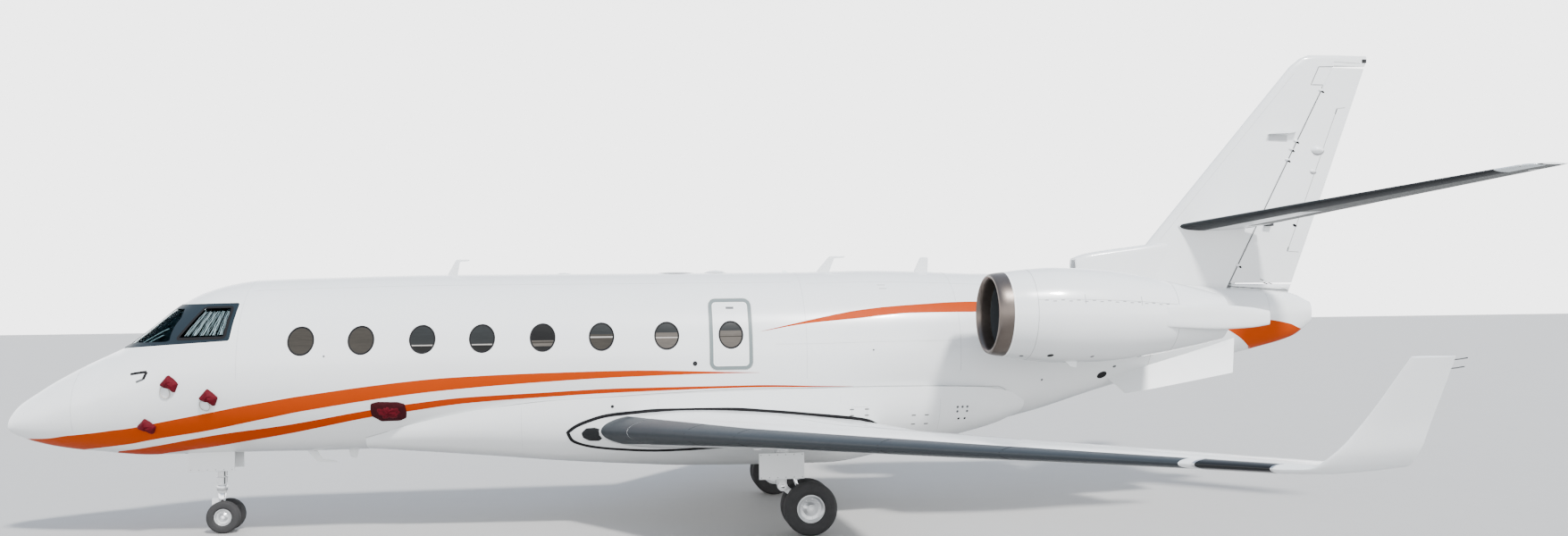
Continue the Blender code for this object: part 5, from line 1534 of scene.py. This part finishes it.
def covers(nose, cabin):
    """Red covers on the probes with pale loops below and painted shade along their right edges, and the oval cover on
    the lower skin.
    """
    hood = ((-0.118, -0.012), (-0.062, 0.050), (-0.008, 0.112), (0.062, 0.062), (0.120, 0.002), (0.072, -0.108),
            (0.022, -0.060), (-0.060, -0.046))
    # Right edge of a probe cover in darker cloth: painted shade.
    shaded_edge = ((0.040, 0.075), (0.118, 0.004), (0.072, -0.104), (0.040, -0.070), (0.070, 0.000), (0.010, 0.075))
    oval = ((-0.215, 0.03), (-0.205, 0.125), (-0.12, 0.15), (0.12, 0.14), (0.20, 0.11), (0.215, 0.0),
            (0.205, -0.10), (0.13, -0.145), (-0.10, -0.15), (-0.15, -0.105), (-0.205, -0.06))
    port = (4.785, 1.567)
    for name, side in SIDES:
        for number, centre in enumerate(((2.211, 1.961), (2.680, 1.793), (1.886, 1.442)), 1):
            cover, place, normal, flat, upward = pillow("%s_probe_cover_%d" % (name, number), nose, centre, hood,
                                                        side, 0.070, CRIMSON, 0.07)
            merge(cover, pillow("flap", nose, centre, shaded_edge, side, 0.060, DARK_RED_AND_SHADE, 0.05)[0])
            if number < 3:
                loop = []
                for t in [2 * math.pi * i / 24 for i in range(25)]:
                    spot = place + flat * (-0.045 + 0.060 * math.sin(t)) + upward * (-0.100 + 0.075 * math.cos(t))
                    foot, own, _, _ = nose[0].find_nearest(spot)
                    loop.append(foot + own * (0.010 + 0.012 * (1 + math.cos(t))))
                merge(cover, tube("strap", loop, 0.0055, WEBBING, 8),
                      tube("band", [loop[0], loop[0] + upward * 0.03 + normal * 0.004], 0.009, WEBBING, 8, 0.4))
            piece(cover, "root", "dark_trim")
        cover = pillow(name + "_static_port_cover", cabin, port, oval, side, 0.030, DARK_RED_AND_SHADE)[0]
        merge(cover, pillow("rim", cabin, port, [(x * 0.72, z * 0.66) for x, z in oval], side, 0.040, CRIMSON, 0.12)[0])
        piece(cover, "root", "dark_trim")
        hook = [body_line("hook", path, side, width, finish, proud) for path, width, finish, proud in (
            ([(1.716, 106.5), (1.926, 102.4)], 0.030, BLACK_SEAL_AND_SHADOW, 0.0016),
            ([(1.926, 102.4), (1.885, 97.4)], 0.036, BLACK_SEAL_AND_SHADOW, 0.0017),
            ([(1.885, 97.4), (1.795, 97.2)], 0.026, SEAM, 0.0018))]
        group(name + "_hook_mark", hook, "root", "dark_trim")


def foil_point(rows, side, out, share, face):
    """Point on a wing-like surface: out is the second column, face 1 above and -1 below."""
    station, _, height, chord, thick, tilt = foil_at(rows, out)
    half = half_thickness(chord, thick, share) + 0.003 * share if share else 0.0
    return at(station + share * chord, side * out, height) + tilted_up(side, tilt) * face * half


def foil_spot(rows, side, out, share, face):
    """Point and normal on a wing-like surface."""
    def near(along=0.0, outward=0.0):
        return foil_point(rows, side, out + outward, min(max(share + along, 0.0001), 0.999), face)
    across = foil_point(rows, side, out + 0.01, share, face) - foil_point(rows, side, out - 0.01, share, face)
    normal = (near(0.004) - near(-0.004)).cross(across).normalized()
    probe = foil_point(rows, side, out, 0.5, face) - foil_point(rows, side, out, 0.5, -face)
    if share > 0.02 and normal.dot(probe) < 0:
        normal = -normal
    return foil_point(rows, side, out, share, face), normal


def foil_patch(name, rows, side, span, upper, lower, finish, proud=0.0010, count=13, spans=10):
    """Thin closed sheet round a leading edge over part of the span. Upper and lower are shares of the chord."""
    shares = ([(upper * (1 - k / count) ** 2, 1) for k in range(count)] + [(0.0, 1)]
              + [(lower * (k / count) ** 2, -1) for k in range(1, count + 1)])
    rings = []
    for i in range(spans + 1):
        out = span[0] + (span[1] - span[0]) * i / spans
        station, _, height, chord = foil_at(rows, out)[:4]
        centre = at(station + 0.5 * chord, side * out, height)
        middle = [foil_point(rows, side, out, s, f) for s, f in shares]
        outer, inner = [], []
        for k, spot in enumerate(middle):
            normal = run(middle, k).cross(Vector((0, 1, 0))).normalized()
            if normal.dot(spot - centre) < 0 and abs(normal.x) > 0.3:
                normal = -normal
            if shares[k][0] > 0.02 and normal.z * shares[k][1] < 0:
                normal = -normal
            outer.append(spot + normal * proud)
            inner.append(spot - normal * 0.001)
        rings.append(outer + inner[::-1])
    return loft(name, rings, finish, sharp=50)


def foil_line(rows, side, spots, width, finish, face=1, proud=0.0010):
    """Line on a wing-like surface through (out, share) points."""
    path = []
    for one, two in zip(spots, spots[1:]):
        count = max(2, math.ceil(abs(two[0] - one[0]) / 0.1) + 4)
        path += [between(one, two, k / count) for k in range(count)]
    found = [foil_spot(rows, side, out, share, face) for out, share in path + [spots[-1]]]
    return ribbon("line", found, width, finish, proud=proud)


def wing_details(name, side, fairing):
    """Root seal and lamp, dark root of the leading edge, panel lines, tip lamp, flap track fairings, wicks."""
    seal = []
    front, chord, thick, middle = 7.40, 3.58, 0.134, 1.274  # of the wing where it meets the fairing
    for s, z in ((6.97, 1.26), (7.06, 1.33), (7.22, 1.40), (7.48, 1.47), (7.80, 1.50), (8.15, 1.51), (8.97, 1.47),
                 (9.50, 1.42), (10.00, 1.36), (10.82, 1.24), (11.02, 1.19), (10.82, 1.15), (10.00, 1.10),
                 (9.57, 1.06), (8.97, 1.02), (8.14, 0.99), (7.60, 1.02), (7.20, 1.08), (7.02, 1.16)):
        half = half_thickness(chord, thick, min(max((s - front) / chord, 0.0), 1.0)) + 0.016
        if s > 7.3:
            z = max(z, middle + half) if z > 1.2 else min(z, middle - half)
        seal.append((s, z))
    knots = smooth([(i, *p) for i, p in enumerate(seal + seal[:1])])
    found = [side_spot(fairing, *knots(i / 6), side) for i in range(len(seal) * 6)]
    piece(ribbon(name + "_wing_root_seal", found, 0.042, BLACK_SEAL_AND_SHADOW, True, 0.0025), "root", "dark_trim")

    outline = [(7.14, 1.25), (7.20, 1.315), (7.31, 1.325), (7.40, 1.29), (7.43, 1.20), (7.36, 1.13), (7.24, 1.13),
               (7.16, 1.18)]
    lens = pillow(name + "_root_lamp", fairing, (7.28, 1.225), [(s - 7.28, z - 1.225) for s, z in outline], side,
                  0.012, LENS, 0.0)[0]
    piece(lens, "root", "tinted_glass")

    root = foil_patch(name + "_root_edge", WING, side, (1.10, 1.548), SLAT_CHORD, SLAT_CHORD * 0.9, EDGE_METAL)
    piece(root, "root", "grey_metal")
    tip = foil_patch(name + "_tip_lamp", WING, side, (7.72, 8.22), 0.10, 0.16, LENS, proud=0.0035)
    for span in ((7.70, 7.72), (8.22, 8.235)):
        merge(tip, foil_patch("frame", WING, side, span, 0.11, 0.17, ALLOY, proud=0.004, spans=2))
    piece(tip, "root", "tinted_glass")

    lines = []
    for face in (1, -1):
        paths = [([(1.45, 0.738), (5.70, 0.738)], 0.006, SEAM), ([(5.713, 0.742), (5.713, 0.985)], 0.006, SEAM),
                 ([(out, 0.092) for out in (1.55, 3.20, 5.79, 7.60)], 0.005, SEAM)]
        paths += [([(out, 0.094), (out, 0.70)], 0.004, GREY_LINE_AND_SHADOW) for out in (2.45, 3.20, 4.50, 5.79, 6.70, 7.60)]
        paths.append(([(1.70, 0.55), (5.60, 0.55)], 0.005, SEAM) if face > 0 else
                     ([(1.70, 0.45), (7.90, 0.45)], 0.004, GREY_LINE_AND_SHADOW))
        lines += [foil_line(WING, side, path, width, finish, face) for path, width, finish in paths]
    for out in (2.48, 3.22, 5.0, 6.2):
        for face in (1, -1):
            lines.append(foil_line(WING, side, [(out, 0.002), (out, 0.088)], 0.006, BLACK_SEAL_AND_SHADOW, face, 0.0012))
    group(name + "_wing_seams", lines, "root", "dark_trim")

    tracks = []
    for out in (2.45, 3.85, 5.10):
        row = foil_at(WING, out)
        rings = []
        for t in [i / 14 for i in range(15)]:
            share = 0.50 + 0.50 * t
            low = foil_point(WING, side, out, min(share, 0.985), -1).z + 0.004
            size = math.sin(math.pi * min(max(t, 0.02), 0.98)) ** 0.6
            rings.append([at(row[0] + row[3] * share, side * out + 0.042 * size * math.cos(a),
                             low - max(0.0, -math.sin(a)) * 0.10 * size + max(0.0, math.sin(a)) * 0.004)
                          for a in turns(20)])
        tracks.append(loft("track", rings, COMPOSITE, sharp=60))
    group(name + "_flap_tracks", tracks, "root", "composite_paint")

    wicks = []
    for out in (8.795, 8.82):
        row = foil_at(WINGLET, out)
        tail = at(row[0] + row[3] - 0.006, side * out, row[2])
        path = [tail + Vector(step) for step in ((0, 0, 0), (0.05, 0, 0.004), (0.11, 0, 0.012))]
        wicks.append(tube("wick", path, 0.004, DARK, 8))
    group(name + "_winglet_wicks", wicks, "root", "dark_trim")


def tail_details():
    """Dark boots, bright tips and panel lines of the stabilizer."""
    rows = STABILIZER[1:]
    for name, side in SIDES:
        boot = foil_patch(name + "_stabilizer_boot", rows, side, (0.13, 3.10), 0.13, 0.30, BOOT, 0.0025, spans=24)
        piece(boot, "root", "dark_trim")
        tip = foil_patch(name + "_stabilizer_tip", rows, side, (3.11, 3.40), 0.34, 0.34, SATIN, 0.0012, spans=8)
        piece(tip, "root", "bare_metal")
        lines = [foil_line(rows, side, path, width, finish, face) for face in (1, -1) for path, width, finish in (
            ([(0.32, 0.660), (3.15, 0.660)], 0.005, SEAM), ([(3.20, 0.68), (3.20, 0.985)], 0.005, SEAM),
            ([(0.30, 0.45), (3.10, 0.45)], 0.003, GREY_LINE_AND_SHADOW))]
        group(name + "_stabilizer_seams", lines, "root", "dark_trim")


def fin_details(fin):
    """Gap lines, hinge arms, plates, bulges and lamps on both sides of the fin and rudder, with painted shadows under
    the plate, the bulge, the stud and the hinge knobs.
    """
    fixed, moving = [], []
    (low_s, low_z), (high_s, high_z) = RUDDER_HINGE
    for _, side in SIDES:
        def line(path, width, finish=SEAM):
            return side_line("line", fin, path, side, width, finish, False, 0.0016)

        def plate(s, z, *looks):
            return disc("plate", side_spot(fin, s, z, side), *looks)
        fixed.append(line([(15.36, 3.70), (17.53, 6.16)], 0.004, FAINT_SEAM_AND_SHADOW))
        fixed.append(line([(low_s + (z - low_z) * (high_s - low_s) / (high_z - low_z) - 0.014, z)
                           for z in (3.06, 3.9, 4.7, 5.4, 5.92)], 0.013))
        fixed.append(line([(17.955, 5.93), (17.985, 6.0), (17.79, 5.998), (17.925, 6.268), (18.16, 6.275)], 0.011))
        fixed.append(line([(18.18, 6.348), (18.62, 6.338)], 0.006, GREY_LINE_AND_SHADOW))
        fixed.append(prism("plate", [(17.074, 5.252), (17.38, 5.262), (17.521, 5.292), (17.259, 5.296)],
                           *sorted((side * 0.05, side * 0.165)), WHITE))
        # Painted shadow of the plate on the fin below it.
        fixed.append(line([(17.082, 5.202), (17.378, 5.192)], 0.10, FAINT_SEAM_AND_SHADOW))
        # A white knob above each hinge mark, with a black disc below it: painted shadow.
        for s, z in ((17.539, 5.146), (17.462, 5.022), (17.392, 4.867), (17.969, 5.905), (16.568, 3.318)):
            fixed += [plate(s - 0.020, z + 0.018, 0.020, WHITE, 0.010, 1.8, 0.0, 0.012),
                      plate(s + 0.010, z - 0.004, 0.015, BLACK_SEAL_AND_SHADOW, 0.004, 2.3, 0.6 * side)]
        # The bulge and the stud each sit on a grey disc set down and aft of them: painted shadow.
        moving += [plate(17.893, 5.018, 0.062, GREY_LINE_AND_SHADOW, 0.002, 1.7),
                   plate(17.882, 5.036, 0.060, WHITE, 0.012, 1.7, 0.0, 0.045),
                   plate(17.812, 4.702, 0.030, GREY_LINE_AND_SHADOW, 0.002, 1.8),
                   plate(17.800, 4.722, 0.028, WHITE, 0.008, 1.8, 0.0, 0.014),
                   line([(18.36, 5.672), (18.224, 5.657), (17.367, 3.536), (17.56, 3.527)], 0.008, GREY_LINE_AND_SHADOW),
                   line([(18.222, 5.652), (18.19, 5.575)], 0.016), line([(17.368, 3.54), (17.39, 3.60)], 0.020),
                   plate(17.494, 3.918, 0.018, BLACK_SEAL_AND_SHADOW, 0.006, 1.9, 0.4 * side)]
        low, high = sorted((side * 0.06, side * 0.15))
        fixed.append(soft_block("fitting", (16.98, low, 3.905), (17.10, high, 3.945), DARK, 0.006))
    sill = fin_solid("sill", WHITE)
    keep(sill, prism("sill_shape", [(16.43, 2.80), (17.75, 2.80), (17.70, 3.050), (16.435, 3.066)], -0.6, 0.6))
    cut(sill, body_solid("body", 13.3, TAIL_END, PLAY))
    fixed += [sill] + [side_line("line", fin, [(16.39, 3.030), (17.42, 2.955)], side, 0.014, SEAM, False, 0.0016)
                       for _, side in SIDES]
    group("fin_fittings", fixed, "root", "dark_trim")
    group("rudder_fittings", moving, "rudder", "dark_trim")

    light = soft_block("tail_light", (18.655, -0.022, 6.350), (18.725, 0.022, 6.402), LENS, 0.008)
    piece(light, "root", "tinted_glass")
    wicks = [tube("wick", [at(s + along, 0, z + rise) for along, rise in ((0, 0), (0.04, 0.001), (0.085, 0.003))],
                  0.006, DARK, 8) for s, z in ((18.525, 6.198), (18.412, 5.911))]
    group("rudder_wicks", wicks, "rudder", "dark_trim")


cowl_row = smooth(COWL_OUTSIDE)


def cowl_spot(side, station, angle):
    """Point and normal on a nacelle; the angle is from the top, 90 on the outer side."""
    turn = math.radians(angle)
    place = engine_frame(side)
    radius = cowl_row(station)[0]
    slope = (cowl_row(station + 0.01)[0] - cowl_row(station - 0.01)[0]) / 0.02
    spot = Vector((station, side * radius * math.sin(turn), radius * math.cos(turn)))
    normal = Vector((-slope, side * math.sin(turn), math.cos(turn))).normalized()
    return place @ spot, (place.to_3x3() @ normal).normalized()


def nacelle_details(name, side):
    def ring(station, width, finish):
        found = [cowl_spot(side, station, 360 * i / 96) for i in range(96)]
        return ribbon("ring", found, width, finish, True)

    def long(start, end, angle, width, finish):
        return ribbon("long", [cowl_spot(side, s, angle) for s in spaced(start, end, 0.06)], width, finish)
    lines = [ring(12.385, 0.010, EDGE_LIGHT), ring(12.66, 0.005, GREY_LINE_AND_SHADOW), ring(14.53, 0.005, GREY_LINE_AND_SHADOW),
             long(12.66, 14.50, 71, 0.004, GREY_LINE_AND_SHADOW), long(12.66, 14.50, 178, 0.006, SEAM),
             long(12.66, 14.50, -18, 0.004, GREY_LINE_AND_SHADOW)]
    for i in range(18):
        s = 12.74 + i * 0.1
        lines.append(long(s, s + 0.045, 73.2 if i % 2 else 72.0, 0.010, GREY_LINE_AND_SHADOW))
    for s in (13.25, 14.0):
        lines.append(ribbon("tick", [cowl_spot(side, s, a) for a in (64, 67, 70, 73, 76)], 0.006, GREY_LINE_AND_SHADOW))
    for s, angle, radius, finish in ((12.90, 148, 0.030, OPENING_SHADE), (12.56, 157, 0.020, SEAM), (13.45, 150, 0.018, SEAM),
                                     (14.15, 168, 0.022, OPENING_SHADE), (13.20, 178, 0.028, OPENING_SHADE)):
        lines.append(disc("vent", cowl_spot(side, s, angle), radius, finish, 0.0014, 1.4, 0.5))
    place, _ = cowl_spot(side, 13.22, 168)
    rings = [[place + Vector((x, d, z)) for x, z in ((-0.07, 0.02), (0.10, 0.02), (0.085, -0.075), (0.0, -0.055))]
             for d in (-0.012, 0.012)]
    lines.append(loft("mast", rings, WHITE, sharp=30))
    group(name + "_nacelle_lines", lines, "root", "dark_trim")


def antenna(outline, half):
    """Thin blade on the centre line, tapering to its edges."""
    middle = [sum(p[k] for p in outline) / len(outline) for k in (0, 1)]
    rings = []
    for out, share in ((-half, 0.93), (-half * 0.5, 1.0), (half * 0.5, 1.0), (half, 0.93)):
        rings.append([at(middle[0] + (s - middle[0]) * share, out, middle[1] + (z - middle[1]) * share)
                      for s, z in soften(outline, 0.02, 3)])
    return loft("antenna", rings, WHITE, sharp=30)


def antennas(cabin):
    made = [antenna(*blade) for blade in (
        ([(5.36, 3.25), (5.50, 3.25), (5.535, 3.462), (5.66, 3.470), (5.665, 3.486), (5.49, 3.487)], 0.010),
        ([(10.33, 3.27), (10.52, 3.27), (10.60, 3.478), (10.75, 3.487), (10.755, 3.503), (10.53, 3.503)], 0.012),
        ([(11.72, 3.25), (11.93, 3.25), (11.945, 3.482), (11.83, 3.482)], 0.012),
        ([(3.56, 1.05), (3.70, 1.05), (3.80, 0.888), (3.98, 0.862), (3.98, 0.846), (3.73, 0.862)], 0.010),
        ([(4.10, 1.05), (4.25, 1.05), (4.22, 0.90), (4.15, 0.90)], 0.009))]
    for s, radius, dome in ((8.94, 0.105, 0.030), (8.40, 0.16, 0.012), (6.9, 0.06, 0.010)):
        made.append(disc("puck", top_spot(cabin, s), radius, WHITE, 0.006, 1.5, dome=dome, segments=40))
    group("antennas", made, "root", "composite_paint")
    piece(disc("beacon", top_spot(cabin, 9.9), 0.030, SHIELD, 0.008, 1.3, dome=0.020), "root", "tinted_glass")


def skin_marks(fairing):
    """Panel lines, small ports, service panels and vents on both sides of the body."""
    for name, side in SIDES:
        lines = []
        for s, low, high, width, finish in ((0.955, 62, 176, 0.004, FAINT_SEAM_AND_SHADOW), (3.02, 84, 176, 0.003, FAINT_SEAM_AND_SHADOW),
                                            (10.02, 75, 176, 0.004, FAINT_SEAM_AND_SHADOW), (12.10, 76, 176, 0.004, FAINT_SEAM_AND_SHADOW),
                                            (14.98, 5, 176, 0.004, GREY_LINE_AND_SHADOW), (16.95, 86, 150, 0.004, FAINT_SEAM_AND_SHADOW)):
            lines.append(body_line("line", [(s, low + (high - low) * k / 30) for k in range(31)], side, width, finish))
        for path in ([(3.1, 150), (9.9, 150)], [(10.1, 148), (13.9, 147)], [(9.6, 98), (12.0, 97)]):
            lines.append(body_line("line", path, side, 0.003, FAINT_SEAM_AND_SHADOW))
        bend = smooth([(4.41, 33.5), (5.107, 46.8), (6.58, 61.9), (7.694, 65.0), (7.999, 65.9), (9.463, 68.0),
                       (11.182, 66.3), (12.656, 60.9), (12.85, 53)])
        path = [(s, bend(s)[0] + 0.6) for s in spaced(4.45, 12.8, 0.07)]
        lines.append(body_line("line", path, side, 0.006, GREY_LINE_AND_SHADOW))
        for s, angle, radius, finish, proud, stretch in (
                (8.575, 86.1, 0.030, OPENING_SHADE, 0.0016, 1.0), (12.25, 23.2, 0.030, OPENING_SHADE, 0.0016, 1.0),
                (12.36, 23.5, 0.022, OPENING_SHADE, 0.0016, 1.0), (10.9, 92, 0.012, SEAM, 0.0016, 1.0),
                (4.05, 96, 0.012, SEAM, 0.0016, 1.0), (13.3, 60, 0.016, SEAM, 0.0016, 1.0),
                (14.25, 47.5, 0.062, BLACK_SEAL_AND_SHADOW, 0.0018, 1.25), (14.42, 55, 0.018, SEAM, 0.0018, 1.6)):
            lines.append(disc("port", skin_spot(s, angle, side), radius, finish, proud, stretch))
        for s, angle in ((11.114, 143.8), (11.124, 139.7)):
            lines.append(body_line("line", [(s - 0.05, angle), (s + 0.05, angle)], side, 0.010, GREY_LINE_AND_SHADOW))
        group(name + "_skin_marks", lines, "root", "dark_trim")

        def mark(path, width, finish, closed=False):
            return side_line("line", fairing, path, side, width, finish, closed)
        marks = [mark([(10.60, 1.24), (10.80, 1.24), (10.80, 1.50), (10.60, 1.50)], 0.003, GREY_LINE_AND_SHADOW, True)]
        for ends, heights in (((10.60, 10.80), (1.29, 1.47, 1.39)), ((11.44, 11.62), (1.25, 1.37))):
            marks += [mark([(s - 0.028, z), (s + 0.028, z)], 0.016, EDGE_DARK) for z in heights for s in ends]
        for s, z, radius, finish in ((12.05, 1.46, 0.017, SEAM), (12.12, 1.46, 0.017, SEAM), (12.19, 1.46, 0.017, SEAM),
                                     (12.05, 1.40, 0.017, SEAM), (12.19, 1.40, 0.017, SEAM), (12.08, 1.30, 0.017, OPENING_SHADE),
                                     (12.17, 1.30, 0.017, OPENING_SHADE), (7.53, 1.58, 0.020, OPENING_SHADE)):
            marks.append(disc("port", side_spot(fairing, s, z, side), radius, finish, 0.0016))
        for s, heights in ((6.4, (1.0, 1.15, 1.30, 1.45, 1.58)), (8.1, (1.56, 1.66)), (10.45, (1.56, 1.66)),
                           (11.8, (1.0, 1.15, 1.30, 1.45, 1.58))):
            marks.append(mark([(s, z) for z in heights], 0.003, FAINT_SEAM_AND_SHADOW))
        group(name + "_fairing_marks", marks, "root", "dark_trim")


def cushion(low, high, channels=(), cuts=9, lean=0.0, seam=True):
    """Crowned leather pad in a box, with sewn channels across it. Lean tips it back about its foot."""
    power = 7  # of the rounding of its edges
    shape = bmesh.new()
    bmesh.ops.create_cube(shape, size=2.0)
    bmesh.ops.subdivide_edges(shape, edges=shape.edges[:], cuts=cuts, use_grid_fill=True)
    size = [(h - l) / 2 for l, h in zip(low, high)]
    middle = [(h + l) / 2 for l, h in zip(low, high)]
    thin = size.index(min(size))
    wide = [k for k in range(3) if k != thin]

    def inside(p):
        return at(*[m + v * s for m, v, s in zip(middle, p, size)])
    for vertex in shape.verts:
        p = list(vertex.co)
        span = sum(abs(v) ** power for v in p) ** (1 / power)
        p = [v / span for v in p]
        rim = (1 - p[wide[0]] ** 2) * (1 - p[wide[1]] ** 2)
        p[thin] *= 0.80 + 0.20 * rim ** 0.5 if rim > 0 else 0.80
        for k, other in (wide, wide[::-1]):
            p[k] *= 1 - 0.03 * (1 - p[other] ** 2)
        for place in channels:
            p[thin] *= 1 - 0.10 * math.exp(-((p[wide[0]] - place) / 0.05) ** 2) * min(1, rim * 3)
        vertex.co = inside(p)
    mesh = bpy.data.meshes.new("cushion")
    shape.to_mesh(mesh)
    shape.free()
    mesh.shade_smooth()
    mesh.materials.append(LEATHER)
    pad = placed("cushion", mesh)
    if seam:
        ring = []
        for t in turns(40):
            p = [0.0, 0.0, 0.0]
            c, s = math.cos(t), math.sin(t)
            span = (abs(c) ** power + abs(s) ** power) ** (1 / power)
            p[wide[0]], p[wide[1]], p[thin] = c / span * 0.985, s / span * 0.985, 0.42
            ring.append(inside(p))
        merge(pad, tube("piping", ring + ring[:1], 0.004, SEAM_THREAD, 6))
    if lean:
        foot = at(middle[0], middle[1], low[2])
        mesh.transform(Matrix.Translation(foot) @ Matrix.Rotation(lean, 4, "Y") @ Matrix.Translation(-foot))
    return pad


def seats():
    for row, (station, facing) in enumerate(SEAT_PLACES):
        for side in (-1, 1):
            y = side * 0.43

            def pad(a, b, half, low, high, out=0.0, **looks):
                front, back = sorted((station + facing * a, station + facing * b))
                return cushion((front, y + out - half, low), (back, y + out + half, high), **looks)
            made = pad(-0.22, 0.26, 0.19, 1.66, 1.835, channels=(-0.4, 0.0, 0.4))
            merge(made, pad(-0.25, -0.12, 0.20, 1.80, 2.36, channels=(-0.35, 0.35), lean=-facing * 0.13),
                  pad(-0.30, -0.19, 0.13, 2.22, 2.385),
                  *[pad(-0.16, 0.22, 0.0275, 1.80, 1.845, arm * 0.1925, cuts=5, seam=False) for arm in (-1, 1)],
                  soft_block("plinth", (station - 0.20, y - 0.15, FLOOR_TOP + 0.0105),
                             (station + 0.20, y + 0.15, 1.67), DARK, 0.02))
            made.name = "cabin_seat_%d" % (row * 2 + (2 if side > 0 else 1))
            piece(made, "root", "seat_leather", "cabin_seats")
    group("seat_rails", [soft_block("rail", (4.45, y, FLOOR_TOP + PLAY), (8.95, y + 0.04, 1.43), ALLOY, 0.004)
                         for y in (0.41, -0.45)], "root", "bare_metal")

    for name, side in SIDES:
        y = side * 0.42
        seat = cushion((2.43, y - 0.21, 1.65), (2.89, y + 0.21, 1.78), (-0.3, 0.3))
        merge(seat, cushion((2.81, y - 0.19, 1.72), (2.91, y + 0.19, 2.30), (-0.3, 0.3), lean=0.10),
              cushion((2.93, y - 0.12, 2.33), (3.00, y + 0.12, 2.50), cuts=6),
              soft_block("base", (2.54, y - 0.14, FLOOR_TOP + 0.0005), (2.80, y + 0.14, 1.66), DARK, 0.02))
        seat.name = "pilot_seat_" + name + "_pads"
        piece(seat, "root", "seat_leather", "pilot_seat_" + name)


def flight_deck():
    """Panel with blank screens, padded glareshield, pedestal and levers, and the carpet of the cabin."""
    panel = block("panel_board", (1.99, -0.86, 1.91), (2.055, 0.86, 2.285), DARK)
    merge(panel, soft_block("shield", (1.82, -0.86, 2.282), (2.095, 0.86, 2.318), DARK, 0.012))
    keep(panel, body_solid("inside", 1.30, COCKPIT_END, SKIN + 0.014))
    for y in (-0.60, -0.30, 0.0, 0.30, 0.60):
        merge(panel, soft_block("bezel", (2.052, y - 0.125, 1.985), (2.058, y + 0.125, 2.215), GEAR_DARK, 0.003),
              soft_block("screen", (2.055, y - 0.113, 1.997), (2.0596, y + 0.113, 2.203), SCREEN, 0.001))
    merge(panel, soft_block("pedestal", (2.06, -0.125, FLOOR_TOP + 0.0005), (2.58, 0.125, 1.90), DARK, 0.015))
    for y in (-0.05, -0.02, 0.02, 0.05):
        merge(panel, rod("lever", at(2.30, y, 1.893), at(2.28, y, 1.925), 0.007, finish=ALLOY, segments=12))
    piece(panel, "root", "dark_trim", "instrument_panel")
    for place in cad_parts["cabin_floor"].material_slots:
        place.material = CARPET


def line_cabin(target, finish):
    """Give the faces inside a hollow section the lining's material."""
    target.data.materials.append(finish)
    for face in target.data.polygons:
        wide, middle, top, bottom = body_row(face.center.x + LENGTH / 2)
        reach = top - middle if face.center.z > middle else middle - bottom
        if math.hypot(face.center.y / wide, (face.center.z - middle) / reach) < 0.975:
            face.material_index = len(target.data.materials) - 1


camera_and_light()
nose_source, cabin_source = fuselage()
entry_door(cabin_source)
fairing_source = belly_fairing()
windows()
exit_and_door_marks(cabin_source)
glazing_details(nose_source)
stripes()
covers(nose_source, cabin_source)
for side_name, side_sign in SIDES:
    wing(side_name, side_sign)
    wing_details(side_name, side_sign, fairing_source)
fin_source = fin_and_rudder()
fin_details(fin_source)
stabilizer()
tail_details()
ventral_fins()
for side_name, side_sign in SIDES:
    engine(side_name, side_sign)
    nacelle_details(side_name, side_sign)
antennas(cabin_source)
skin_marks(fairing_source)
seats()
flight_deck()
nose_gear()
for side_name, side_sign in SIDES:
    main_gear(side_name, side_sign)
